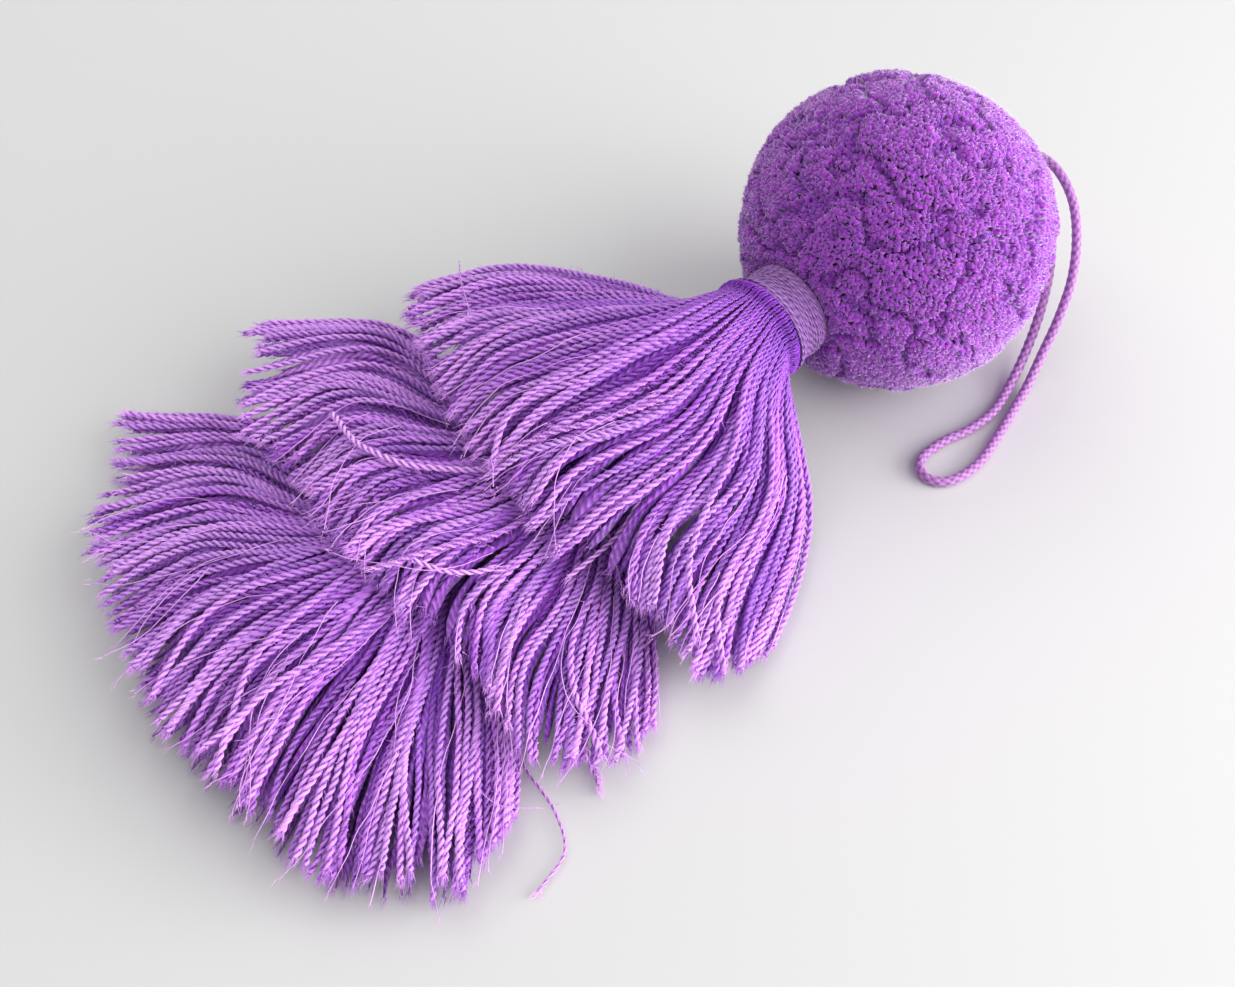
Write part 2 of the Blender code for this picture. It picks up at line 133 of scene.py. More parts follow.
TIERS = (
    Tier(
        name="tassel_tier_1", ring_x=-51, ring_y=0, ring_z=36, outer_radius=14, inner_radius=10.4,
        front_radius=11.6, head_length=4.6, pitch=3,
        over=(
            Section(20, -80, 80, 33, 46, 51.5, 43, 23),
            Section(38, -84, 71, 27, 42, 48, 35, 6),
            Section(62, -75, 56, 24, 37.5, 41, 28.5, 3),
            Section(78, -63, 50, 22, 33.5, 33.5, 21.5, 3),
        ),
        under=(
            Section(15, -78, 60, 20, 15, 12, 13, 21),
            Section(24, -80, 60, 9, 4, 3.4, 4, 9),
            lying(32, -76, 58),
        ),
        hem=(
            Hem(0, 1.15), Hem(0.3, 0.97), Hem(0.6, 0.935), Hem(0.78, 0.97), Hem(0.9, 1.07), Hem(1, 0.9),
        ),
        under_hem=(Hem(0, 2.2), Hem(0.35, 1), Hem(1, 1)),
        parting=Parting(24 / 36, 14),
    ),
    Tier(
        name="tassel_tier_2", ring_x=-94, ring_y=7, ring_z=13, outer_radius=11.5, inner_radius=8.2,
        front_radius=8, head_length=7, pitch=0,
        over=(
            Section(18, -79, 77, 8, 21, 26, 19, 6),
            Section(38, -84, 70, 8, 24.5, 27.5, 19.5, 3.6),
            Section(60, -86, 64, 13, 25, 27.5, 19, 3),
            Section(80, -70, 60, 18, 22.5, 25.5, 16, 3),
        ),
        under=(
            Section(12, -62, 62, 5, 3.4, 3.2, 3.4, 5),
            lying(20, -62, 60),
            lying(30, -62, 58),
        ),
        hem=(
            Hem(0, 1.26), Hem(0.17, 1.08), Hem(0.31, 0.88), Hem(0.55, 0.82), Hem(0.71, 0.845),
            Hem(0.84, 1.045), Hem(0.92, 0.99), Hem(1, 0.83),
        ),
        under_hem=(Hem(0, 1), Hem(1, 1)),
        parting=Parting(24 / 38, 8),
    ),
    Tier(
        name="tassel_tier_3", ring_x=-136, ring_y=15, ring_z=11, outer_radius=10.6, inner_radius=7.2,
        front_radius=7.5, head_length=7, pitch=0,
        over=(
            Section(16, -79, 79, 7.5, 17.5, 20.5, 17, 7.5),
            Section(34, -84, 76, 6, 17.5, 20.5, 16, 6),
            Section(58, -87, 71, 6, 15.5, 18, 13.5, 6),
            Section(84, -73, 65, 6, 13, 14, 11, 6),
        ),
        under=(
            lying(14, -70, 70, 2.2),
            lying(32, -76, 70),
            lying(58, -80, 68),
            lying(84, -71, 63),
        ),
        hem=(Hem(0, 1.14), *THIRD_HEM, Hem(1, 0.84)),
        under_hem=(Hem(0, 1.12), *THIRD_HEM, Hem(1, 0.86)),
        parting=Parting(17 / 40, 6),
    ),
)

# A layer is one sheet of yarns lying side by side. Mix tells where it lies between the over coat (0)
# and the under coat (1), lift how far above that in mm, start and stop which part of the width it
# covers, clumping how its yarns bunch, and shade how much painted shade darkens its colour, for the
# shade that falls on the layers below the top one.
Layer = namedtuple("Layer", "mix lift count start stop reach clumping shade")
YARN_COUNTS = {"tassel_tier_1": 66, "tassel_tier_2": 66, "tassel_tier_3": 72}
TOP_LAYERS = {name: (Layer(0, 0.75, count, 0, 1, 1, 0.3, 0),) for name, count in YARN_COUNTS.items()}
SECOND_LAYERS = {name: (Layer(0, -0.8, count, 0, 1, 1, 0.2, 0.55),) for name, count in YARN_COUNTS.items()}
LINING = Layer(0, -2.1, 96, 0, 1, 0.93, 0.1, 0.75)
CORNER = Layer(0, -1.3, 16, 0, 0.18, 0.95, 0, 0.3)
INNER_LAYERS = {
    "tassel_tier_1": (
        LINING, Layer(0.25, 0, 26, 0, 0.3, 0.95, 0.2, 0.5), Layer(0.5, 0, 26, 0, 0.3, 0.95, 0.2, 0.5),
        Layer(0.75, 0, 26, 0, 0.3, 0.95, 0.2, 0.6), Layer(1, 0, 56, 0, 1, 0.98, 0.2, 0.6),
    ),
    "tassel_tier_2": (
        LINING, CORNER, Layer(0.35, 0, 20, 0, 0.2, 0.9, 0.2, 0.5), Layer(1, 0, 60, 0, 1, 0.98, 0.2, 0.6),
    ),
    "tassel_tier_3": (
        LINING, CORNER, Layer(0.35, 0, 60, 0, 1, 0.95, 0.3, 0.5), Layer(0.7, 0, 60, 0, 1, 0.96, 0.3, 0.6),
        Layer(1, 0, 70, 0, 1, 0.98, 0.3, 0.6),
    ),
}
HAIR_LAYER = Layer(0, 1.7, 26, 0.25, 1, 1.05, 0, 0)

# How the yarns of a layer are made: spacings of rings and fuzz in mm, and the fibres at each cut end
Make = namedtuple("Make", "label layers tree finish spacing fibres fuzz")

# Two-ply yarn: each ply's radius and offset as shares of the yarn's radius. A yarn's own twist pitch
# is the tassel's pitch times a factor from the least one up.
PLY_RADIUS = 0.62
PLY_ASIDE = 0.4
LEAST_PITCH = 0.85
PITCH_SPREAD = 0.35

# Single yarn: its flatness, the pitch in mm of its painted plies, and a pitch too long to be seen
SINGLE_FLATNESS = 0.75
PLY_PITCH = 4.2
UNTWISTED = 60 * MM

# Fibres: how far from a yarn's middle they start, how loose it must be there to have any at its
# side, and how thin those are beside the ones at its end
END_SCATTER = 0.7 * MM
FUZZ_SCATTER = 0.8 * MM
FUZZ_FROM = 0.3
FUZZ_THINNESS = 0.7

# How a layer's yarns wander and stray, how thick they are, and how much painted shade darkens them
# where they lie below their layer and towards their roots. The swelling and the painted shade at the
# root are measured in shares of a yarn's length.
WAVE_LENGTH = 14 * MM
DRIFT_WAVES = 5
STRAY_SHARE = 0.1
LEAD_THICKNESS = (0.42, 0.46)
ROOT_THICKNESS = 0.5
SWELL_LENGTH = 0.35
HIDDEN_BULK = 1.5
HIDDEN_END = 0.35
ROOT_PAINTED_SHADE = 0.85
ROOT_LENGTH = 0.85
SUNK_PAINTED_SHADE = 0.8
YARN_SHEEN = (0.9, 0.75, 1.0)

# Nothing made by a tree lies lower than this
LEAST_HEIGHT = 0.02 * MM

# Steps of a coat along its yarns and across them, and the points of a yarn's guide
PLACES = 24
SHARES = 96
GUIDE_POINTS = 18

# Hanging loop: its route from part.py, in metres
LOOP_DIAMETER = 2.6 * MM
LOOP_SPANS = 8
CORD_SIDES = 16
BRAID_COLUMNS = 4.0
BRAID_STEP = 0.38 * MM
CORD_SHEEN = (0.95, 0.75, 1.0)
LOOP_ROUTE = (
    (0.0395, 0.0022, 0.0380), (0.0436, 0.0020, 0.0385), (0.0470, -0.0020, 0.0394),
    (0.0478, -0.0085, 0.0402), (0.0464, -0.0152, 0.0394), (0.0438, -0.0218, 0.0360),
    (0.0400, -0.0274, 0.0298), (0.0352, -0.0316, 0.0220), (0.0294, -0.0340, 0.0136),
    (0.0226, -0.0358, 0.0064), (0.0136, -0.0388, 0.0020), (0.0035, -0.0420, 0.0014),
    (-0.0065, -0.0452, 0.0014), (-0.0150, -0.0472, 0.0014), (-0.0225, -0.0468, 0.0014),
    (-0.0266, -0.0446, 0.0014), (-0.0279, -0.0410, 0.0014), (-0.0260, -0.0376, 0.0014),
    (-0.0220, -0.0362, 0.0014), (-0.0150, -0.0366, 0.0014), (-0.0075, -0.0382, 0.0014),
    (0.0015, -0.0382, 0.0014), (0.0115, -0.0352, 0.0018), (0.0214, -0.0318, 0.0062),
    (0.0286, -0.0288, 0.0140), (0.0344, -0.0250, 0.0226), (0.0394, -0.0194, 0.0300),
    (0.0434, -0.0134, 0.0346), (0.0450, -0.0078, 0.0369), (0.0434, -0.0034, 0.0379),
    (0.0395, -0.0022, 0.0380),
)

# Yarns that have strayed over the tiers and onto the surface: how thick, and their routes in mm
Stray = namedtuple("Stray", "thick route")
STRAYS = (
    Stray(1.0, ((-137, 53, 28), (-139, 40, 30), (-136, 28, 31), (-128, 19, 30), (-121, 13, 30))),
    Stray(0.85, ((-150, 5, 29), (-146, -1, 27), (-141, -5, 26), (-137, -7, 26))),
    Stray(0.5, ((-154, -32, 5), (-156, -40, 1), (-158, -51, 1), (-163, -60, 1), (-173, -63, 1))),
    Stray(0.5, ((-121, -31, 9), (-126, -41, 1), (-134, -51, 1))),
    Stray(0.28, ((-83, 72, 30), (-88, 65, 32), (-96, 51, 36))),
    Stray(0.8, ((-96, -15, 35), (-109, -18, 26), (-124, -17, 21))),
    Stray(0.4, ((-107, -8, 27), (-110, -16, 19), (-113, -23, 13))),
    Stray(0.6, ((-145, -41, 8), (-145, -48, 1), (-147, -53, 1))),
    Stray(0.5, ((-142, -41, 7), (-144, -47, 1), (-145, -51, 1))),
)
STRAY_POINTS = 24

# The first point of its guide at which a hair may start, and the first at which it may not
HAIR_STARTS = (9, 16)


# Settings


def length_setting(name, description, default, least=0.0):
    """A length that the panel shows, with its default and least value in mm."""
    return bpy.props.FloatProperty(
        name=name, description=description, default=default * MM, min=least * MM,
        subtype="DISTANCE", unit="LENGTH",
    )


def colour_setting(name, description, default):
    return bpy.props.FloatVectorProperty(
        name=name, description=description, subtype="COLOR", size=3, min=0, max=1, default=default,
    )


class PileSettings(bpy.types.PropertyGroup):
    """Sizes and colours of the ball's cut pile."""

    tuft_gap: length_setting("Tuft gap", "Least distance between two yarn ends", 0.74, 0.3)
    tuft_radius: length_setting("Tuft radius", "Radius of a yarn end where it blooms", 0.95, 0.1)
    tuft_length: length_setting("Tuft length", "Length of yarn modelled below the surface", 7, 1)
    cleft_depth: length_setting("Cleft depth", "Depth of the clefts between locks of pile", 2.4)
    fuzz_gap: length_setting("Fuzz gap", "Least distance between two loose fibres", 0.7, 0.3)
    # The deep colour is painted shade for the pile between the tufts and in the clefts.
    deep: colour_setting("Deep colour", "Pile between the tufts", (0.24, 0.025, 0.42))
    lit: colour_setting("Tip colour", "Ends of the pile", (0.29, 0.036, 0.44))
    # The fuzz colour is a painted highlight: loose fibres paler than the pile, for light through them.
    pale: colour_setting("Fuzz colour", "Loose fibres round the pile", (0.9, 0.55, 1.0))


class NeckSettings(bpy.types.PropertyGroup):
    """Sizes and colours of the wound neck."""

    yarn_radius: length_setting("Yarn radius", "Radius of the wrapping yarn", 0.42, 0.2)
    turns: bpy.props.IntProperty(
        name="Turns", description="Turns of wrapping yarn", default=14, min=3, max=30,
    )
    lit: colour_setting("Yarn colour", "Wrapping yarn", (0.42, 0.17, 0.58))


class TasselSettings(bpy.types.PropertyGroup):
    """Sizes and colours of the tassel's yarns."""

    yarn_radius: length_setting("Yarn radius", "Radius of a whole yarn", 0.84, 0.3)
    twist_pitch: length_setting("Twist pitch", "Length of one full turn of the two plies", 4.2, 2)
    waviness: length_setting("Waviness", "How far a yarn wanders from its line", 1.35)
    uneven: bpy.props.FloatProperty(
        name="Uneven hem", description="Share of a yarn's length by which cut ends differ", default=0.07,
        min=0, max=0.3, subtype="FACTOR",
    )
    hair_radius: length_setting("Hair radius", "Radius of the fine hairs over the hems", 0.13, 0.02)
    fibre_length: length_setting("Fibre length", "Length of the fibres at a frayed end", 3, 0.5)
    fibre_width: length_setting("Fibre width", "Radius of a fibre at its foot", 0.11, 0.01)
    # The deep colour is the painted shade of the yarn; the yarn colour is the yarn in full light.
    deep: colour_setting("Deep colour", "Yarn near the roots", (0.26, 0.025, 0.54))
    lit: colour_setting("Yarn colour", "Yarn near the hem", (0.74, 0.36, 0.88))


class LoopSettings(bpy.types.PropertyGroup):
    """Sizes and colours of the braided loop."""

    braid_pitch: length_setting("Braid pitch", "Distance between two bumps of the braid in one row", 2.3, 1)
    braid_relief: length_setting("Braid relief", "Height of the braid's strands", 0.2)
    lit: colour_setting("Cord colour", "Braided cord", (0.55, 0.24, 0.62))


class StageSettings(bpy.types.PropertyGroup):
    """Sizes and strengths of the stage."""

    floor_size: bpy.props.FloatProperty(
        name="Floor size", description="Side of the square floor", default=6,
        min=1, subtype="DISTANCE", unit="LENGTH",
    )
    key_power: bpy.props.FloatProperty(
        name="Key light", description="Power of the window light", default=22, min=0, subtype="POWER",
    )
    sky_strength: bpy.props.FloatProperty(
        name="Sky", description="Strength of the light from all round", default=0.64, min=0,
    )


SETTINGS = (
    ("pompom_pile", PileSettings),
    ("pompom_neck", NeckSettings),
    ("pompom_tassel", TasselSettings),
    ("pompom_loop", LoopSettings),
    ("pompom_stage", StageSettings),
)


# Node trees


def add(tree, kind, sockets=None, **settings):
    """Adds a node, sets its properties, then links or sets its inputs by name or number."""
    node = tree.nodes.new(kind)
    for name, value in settings.items():
        setattr(node, name, value)
    for key, value in (sockets or {}).items():
        if isinstance(value, bpy.types.NodeSocket):
            tree.links.new(value, node.inputs[key])
        else:
            node.inputs[key].default_value = value
    return node


def result(tree, kind, sockets=None, **settings):
    """The first output of a new node."""
    return add(tree, kind, sockets, **settings).outputs[0]


def maths(tree, operation, *values):
    return result(tree, "ShaderNodeMath", dict(enumerate(values)), operation=operation)


def times(tree, first, second):
    return maths(tree, "MULTIPLY", first, second)


def plus(tree, first, second):
    return maths(tree, "ADD", first, second)


def less(tree, first, second):
    return maths(tree, "SUBTRACT", first, second)


def vectors(tree, operation, *values):
    node = add(tree, "ShaderNodeVectorMath", dict(enumerate(values)), operation=operation)
    return node.outputs["Value" if operation in ("DOT_PRODUCT", "LENGTH") else "Vector"]


def scaled(tree, vector, factor):
    return result(tree, "ShaderNodeVectorMath", {0: vector, "Scale": factor}, operation="SCALE")


def combine(tree, **axes):
    return result(tree, "ShaderNodeCombineXYZ", axes)


def separate(tree, vector):
    return add(tree, "ShaderNodeSeparateXYZ", {0: vector}).outputs


def ramp(tree, value, low, high, start=0.0, end=1.0):
    """A slope from start to end while the value goes from low to high, and flat beyond both."""
    limits = {"Value": value, "From Min": low, "From Max": high, "To Min": start, "To Max": end}
    return result(tree, "ShaderNodeMapRange", limits)


def noise(tree, place, scale, detail):
    return add(tree, "ShaderNodeTexNoise", {"Vector": place, "Scale": scale, "Detail": detail}).outputs


def chance(tree, low, high, seed):
    """A number drawn for each element, between two limits."""
    limits = {"Min": low, "Max": high, "Seed": seed}
    return add(tree, "FunctionNodeRandomValue", limits, data_type="FLOAT").outputs["Value"]


def chance_vector(tree, spread, seed):
    limits = {"Min": (-spread,) * 3, "Max": (spread,) * 3, "Seed": seed}
    return add(tree, "FunctionNodeRandomValue", limits, data_type="FLOAT_VECTOR").outputs["Value"]


def here(tree):
    return result(tree, "GeometryNodeInputPosition")


def store(tree, geometry, name, value, kind="FLOAT", domain="POINT"):
    sockets = {"Geometry": geometry, "Name": name, "Value": value}
    return result(tree, "GeometryNodeStoreNamedAttribute", sockets, data_type=kind, domain=domain)


def named(tree, name, kind="FLOAT"):
    return result(tree, "GeometryNodeInputNamedAttribute", {"Name": name}, data_type=kind)


def placed(tree, geometry, **place):
    """Geometry whose points are set to a Position or moved by an Offset."""
    return result(tree, "GeometryNodeSetPosition", {"Geometry": geometry, **place})


def reshaped(tree, geometry, **change):
    return result(tree, "GeometryNodeTransform", {"Geometry": geometry, **change})


def smoothed(tree, mesh):
    return result(tree, "GeometryNodeSetShadeSmooth", {"Geometry": mesh})


def joined(tree, *parts):
    join = tree.nodes.new("GeometryNodeJoinGeometry")
    for part in parts:
        tree.links.new(part, join.inputs[0])
    return join.outputs[0]


def picked(tree, points, chosen):
    """The points for which a test holds."""
    sockets = {"Geometry": points, "Selection": chosen}
    return add(tree, "GeometryNodeSeparateGeometry", sockets).outputs["Selection"]


def points_along(tree, mode, **sockets):
    return add(tree, "GeometryNodeCurveToPoints", sockets, mode=mode).outputs["Points"]


def even_curve(tree, curve, spacing):
    return result(tree, "GeometryNodeResampleCurve", {"Curve": curve, "Length": spacing}, mode="LENGTH")


def circle(tree, radius, sides):
    return result(tree, "GeometryNodeCurvePrimitiveCircle", {"Resolution": sides, "Radius": radius})


def swept(tree, curve, profile, scale=1.0):
    """A profile swept along a curve, with closed ends."""
    sockets = {"Curve": curve, "Profile Curve": profile, "Scale": scale, "Fill Caps": True}
    return result(tree, "GeometryNodeCurveToMesh", sockets)


def spike(tree, top, foot, depth):
    """A three-sided cone, open at both ends."""
    sizes = {"Vertices": 3, "Radius Top": top, "Radius Bottom": foot, "Depth": depth}
    return result(tree, "GeometryNodeMeshCone", sizes, fill_type="NONE")


def aimed(tree, aim):
    """A turn that lays the upright direction along an aim."""
    return result(tree, "FunctionNodeAlignRotationToVector", {"Vector": aim}, axis="Z")


def copied(tree, points, instance, turn, wide, long):
    """A thing put on every point, turned, and made wide and long by two factors."""
    size = combine(tree, X=wide, Y=wide, Z=long)
    sockets = {"Points": points, "Instance": instance, "Rotation": turn, "Scale": size}
    return result(tree, "GeometryNodeInstanceOnPoints", sockets)


def start_tree(name, *sizes):
    """A geometry tree with an input for each named size and for its finish. Returns it and its
    input sockets by name."""
    tree = bpy.data.node_groups.new(name, "GeometryNodeTree")
    for label in ("Geometry", *sizes, "Finish"):
        kind = SOCKET_KINDS.get(label, "NodeSocketFloat")
        tree.interface.new_socket(label, in_out="INPUT", socket_type=kind)
    tree.interface.new_socket("Geometry", in_out="OUTPUT", socket_type=SOCKET_KINDS["Geometry"])
    inlet = tree.nodes.new("NodeGroupInput")
    return tree, {socket.name: socket for socket in inlet.outputs if socket.name}


def end_tree(tree, geometry, material):
    """Closes a tree with real geometry that carries its material."""
    real = result(tree, "GeometryNodeRealizeInstances", {"Geometry": geometry})
    coated = result(tree, "GeometryNodeSetMaterial", {"Geometry": real, "Material": material})
    outlet = tree.nodes.new("NodeGroupOutput")
    tree.links.new(coated, outlet.inputs["Geometry"])
    return tree


SOCKET_KINDS = {
    "Geometry": "NodeSocketGeometry", "Seed": "NodeSocketInt", "Fibres Per End": "NodeSocketInt",
    "Finish": "NodeSocketMaterial",
}


def show(name, data):
    """A new object of the scene."""
    item = bpy.data.objects.new(name, data)
    bpy.context.scene.collection.objects.link(item)
    return item


def run_tree(name, guide, tree, values):
    """Runs a tree on a guide, and returns the result as one plain mesh object at the origin."""
    bpy.context.scene.collection.objects.link(guide)
    modifier = guide.modifiers.new(tree.name, "NODES")
    modifier.node_group = tree
    for item in tree.interface.items_tree:
        if item.in_out == "INPUT" and item.name in values:
            modifier[item.identifier] = values[item.name]
    graph = bpy.context.evaluated_depsgraph_get()
    mesh = bpy.data.meshes.new_from_object(guide.evaluated_get(graph))
    guide.modifiers.remove(modifier)
    bpy.data.objects.remove(guide)
    if not mesh.polygons:
        raise RuntimeError(f"{name} came out empty")
    mesh.name = name
    return show(name, mesh)


def twist_and_sweep(tree, curve, profile, pitch):
    """Turns a curve's section steadily along it and sweeps a profile round it, thin at its roots."""
    run = add(tree, "GeometryNodeSplineParameter").outputs["Length"]
    tone = named(tree, "tone")
    own_pitch = times(tree, pitch, maths(tree, "MULTIPLY_ADD", tone, PITCH_SPREAD, LEAST_PITCH))
    turns = plus(tree, maths(tree, "DIVIDE", run, own_pitch), tone)
    tilt = times(tree, turns, 2 * math.pi)
    curve = result(tree, "GeometryNodeSetCurveTilt", {"Curve": curve, "Tilt": tilt})
    curve = store(tree, curve, "run", maths(tree, "DIVIDE", run, MM))
    return smoothed(tree, swept(tree, curve, profile, named(tree, "thick")))


def yarn_profile(tree, radius, plies, sides):
    """The cross-section of a yarn: two plies side by side, or one ring a little flattened.
    Each point keeps its place in the section in mm, and how far out it lies from 0 to 1."""
    if plies == 1:
        profile = reshaped(tree, circle(tree, radius, sides), Scale=(1, SINGLE_FLATNESS, 1))
    else:
        ply = circle(tree, times(tree, radius, PLY_RADIUS), sides)
        aside = times(tree, radius, PLY_ASIDE)
        shifts = [combine(tree, X=times(tree, aside, side)) for side in (1, -1)]
        profile = joined(tree, *(reshaped(tree, ply, Translation=shift) for shift in shifts))
    place = here(tree)
    profile = store(tree, profile, "section", scaled(tree, place, 1 / MM), kind="FLOAT_VECTOR")
    return store(tree, profile, "outer", maths(tree, "DIVIDE", vectors(tree, "LENGTH", place), radius))


def fibre_instances(tree, points, direction, length, width, spread, seed):
    """Thin fibres on points, each leaning its own way about a direction and of its own length."""
    fibre = store(tree, spike(tree, 0.0, 1.0, 1.0), "outer", 1.0)
    aim = vectors(tree, "ADD", direction, chance_vector(tree, spread, seed))
    long = times(tree, length, chance(tree, 0.4, 1.0, seed + 1))
    return copied(tree, points, fibre, aimed(tree, aim), width, long)


def keep_above(tree, place, height):
    """A place raised to a height above the surface where it lies lower."""
    parts = separate(tree, place)
    return combine(tree, X=parts["X"], Y=parts["Y"], Z=maths(tree, "MAXIMUM", parts["Z"], height))


def settle(tree, geometry):
    """Real geometry with nothing of it below the surface that the object lies on."""
    real = result(tree, "GeometryNodeRealizeInstances", {"Geometry": geometry})
    return placed(tree, real, Position=keep_above(tree, here(tree), LEAST_HEIGHT))


def wavy(tree, curve, sizes):
    """A curve that sways off its line, more where it is looser, and stays above the surface."""
    place = here(tree)
    spot = vectors(tree, "ADD", place, combine(tree, X=times(tree, named(tree, "tone"), 3.0)))
    waves = noise(tree, spot, maths(tree, "DIVIDE", 1.0, sizes["Wave Length"]), 1.0)
    sway = vectors(tree, "SUBTRACT", waves["Color"], (0.5, 0.5, 0.5))
    sway = scaled(tree, sway, times(tree, sizes["Waviness"], named(tree, "loose")))
    resting = keep_above(tree, vectors(tree, "ADD", place, sway), sizes["Yarn Radius"])
    return placed(tree, curve, Position=resting)


def frayed_ends(tree, curve, sizes):
    """Fibres at the cut end of each yarn, which go on the way the yarn runs."""
    ends = result(tree, "GeometryNodeCurveEndpointSelection", {"Start Size": 0, "End Size": 1})
    marked = store(tree, curve, "cut_end", ends, kind="BOOLEAN")
    tips = picked(tree, points_along(tree, "EVALUATED", Curve=marked), named(tree, "cut_end", "BOOLEAN"))
    copies = {"Geometry": tips, "Amount": sizes["Fibres Per End"]}
    tips = add(tree, "GeometryNodeDuplicateElements", copies, domain="POINT").outputs["Geometry"]
    tips = placed(tree, tips, Offset=chance_vector(tree, END_SCATTER, 11))
    aim = named(tree, "aim", "FLOAT_VECTOR")
    return fibre_instances(tree, tips, aim, sizes["Fibre Length"], sizes["Fibre Width"], 0.4, 12)


def side_fuzz(tree, curve, sizes):
    """Thinner fibres that stand off the free part of each yarn."""
    fuzz = points_along(tree, "LENGTH", Curve=curve, Length=sizes["Fuzz Spacing"])
    fuzz = picked(tree, fuzz, maths(tree, "GREATER_THAN", named(tree, "loose"), FUZZ_FROM))
    fuzz = placed(tree, fuzz, Offset=chance_vector(tree, FUZZ_SCATTER, 14))
    thin = times(tree, sizes["Fibre Width"], FUZZ_THINNESS)
    return fibre_instances(
        tree, fuzz, named(tree, "aim", "FLOAT_VECTOR"), sizes["Fibre Length"], thin, 1.0, 15,
    )


def yarn_tree(name, plies, sides):
    """Yarns along guide lines: wavy, twisted, swept from their plies, frayed and a little fuzzy."""
    tree, sizes = start_tree(
        name, "Yarn Radius", "Twist Pitch", "Ring Spacing", "Waviness", "Wave Length", "Fibre Length",
        "Fibre Width", "Fibres Per End", "Fuzz Spacing",
    )
    curve = result(tree, "GeometryNodeMeshToCurve", {"Mesh": sizes["Geometry"]})
    curve = result(tree, "GeometryNodeCurveSplineType", {"Curve": curve}, spline_type="CATMULL_ROM")
    curve = wavy(tree, even_curve(tree, curve, sizes["Ring Spacing"]), sizes)
    profile = yarn_profile(tree, sizes["Yarn Radius"], plies, sides)
    yarns = twist_and_sweep(tree, curve, profile, sizes["Twist Pitch"])
    curve = store(tree, curve, "aim", result(tree, "GeometryNodeInputTangent"), kind="FLOAT_VECTOR")
    whole = joined(tree, yarns, frayed_ends(tree, curve, sizes), side_fuzz(tree, curve, sizes))
    return end_tree(tree, settle(tree, whole), sizes["Finish"])


# Materials


def start_material(name):
    material = bpy.data.materials.new(name)
    material.use_nodes = True
    tree = material.node_tree
    return material, tree, tree.nodes["Principled BSDF"]


def attribute(tree, name, output="Fac"):
    return add(tree, "ShaderNodeAttribute", attribute_name=name, attribute_type="GEOMETRY").outputs[output]


def blend_colours(tree, factor, first, second):
    mix = add(tree, "ShaderNodeMix", {"Factor": factor}, data_type="RGBA")
    for socket, colour in ((mix.inputs[6], first), (mix.inputs[7], second)):
        if isinstance(colour, bpy.types.NodeSocket):
            tree.links.new(colour, socket)
        else:
            socket.default_value = (*colour, 1)
    return mix.outputs[2]


def tinted(colour, factor):
    """A colour made lighter or darker by a factor."""
    return tuple(min(part * factor, 1) for part in colour)


def varied(tree, colour, tone, spread):
    """A colour that each yarn's own tone shifts, in hue by a spread, and in brightness."""
    return result(tree, "ShaderNodeHueSaturation", {
        "Hue": maths(tree, "MULTIPLY_ADD", tone, spread, 0.5 - spread / 2),
        "Value": maths(tree, "MULTIPLY_ADD", tone, 0.3, 0.85), "Color": colour,
    })


def coat(tree, shader, colour, roughness, sheen, tint):
    """Gives a shader its colour, and the soft sheen of yarn."""
    tree.links.new(colour, shader.inputs["Base Color"])
    shader.inputs["Roughness"].default_value = roughness
    shader.inputs["Specular IOR Level"].default_value = 0.25
    shader.inputs["Sheen Weight"].default_value = sheen
    shader.inputs["Sheen Roughness"].default_value = 0.5
    shader.inputs["Sheen Tint"].default_value = (*tint, 1)


def add_bump(tree, shader, height, distance, strength):
    bump = add(tree, "ShaderNodeBump", {"Height": height, "Distance": distance, "Strength": strength})
    tree.links.new(bump.outputs[0], shader.inputs["Normal"])


def yarn_material(name, deep, lit, coiled=False):
    """Twisted yarn, darkened by painted shade from its shade attribute and between its plies, with painted
    highlight flecks where it is unshaded, each yarn a little its own tone. Coiled yarn is a single
    ring, so its painted plies are told from the angle round it and the run along it."""
    material, tree, shader = start_material(name)
    tone, run = attribute(tree, "tone"), attribute(tree, "run")
    section = attribute(tree, "section", "Vector")
    # Painted shade in the grooves between the plies: from the angle and run for coiled yarn, else from how
    # far in a point lies.
    if coiled:
        parts = separate(tree, section)
        angle = maths(tree, "ARCTAN2", parts["Y"], parts["X"])
        turned = maths(tree, "MULTIPLY_ADD", run, 2 * math.pi / PLY_PITCH, angle)
        crest = maths(tree, "COSINE", times(tree, turned, 2.0))
        groove = maths(tree, "MULTIPLY_ADD", crest, -0.35, 0.4)
    else:
        groove = ramp(tree, attribute(tree, "outer"), 0.35, 1.0, 0.8, 0.0)
    bright = times(tree, less(tree, 1.0, attribute(tree, "shade")), less(tree, 1.0, groove))
    base = blend_colours(tree, less(tree, 1.0, bright), lit, deep)
    along = maths(tree, "MULTIPLY_ADD", tone, 37.0, times(tree, run, 0.3))
    fibres = noise(tree, vectors(tree, "ADD", section, combine(tree, Z=along)), 2.4, 2.0)["Fac"]
    # Painted highlight: pale fibre flecks, only where the yarn is unshaded.
    pale = times(tree, ramp(tree, fibres, 0.48, 0.72, end=0.55), bright)
    colour = blend_colours(tree, pale, varied(tree, base, tone, 0.022), tinted(lit, 1.5))
    coat(tree, shader, colour, 0.7, 0.3, YARN_SHEEN)
    relief = maths(tree, "MULTIPLY_ADD", groove, -3.0, fibres) if coiled else fibres
    add_bump(tree, shader, relief, 0.2 * MM, 0.9 if coiled else 0.45)
    return material


# Making guides


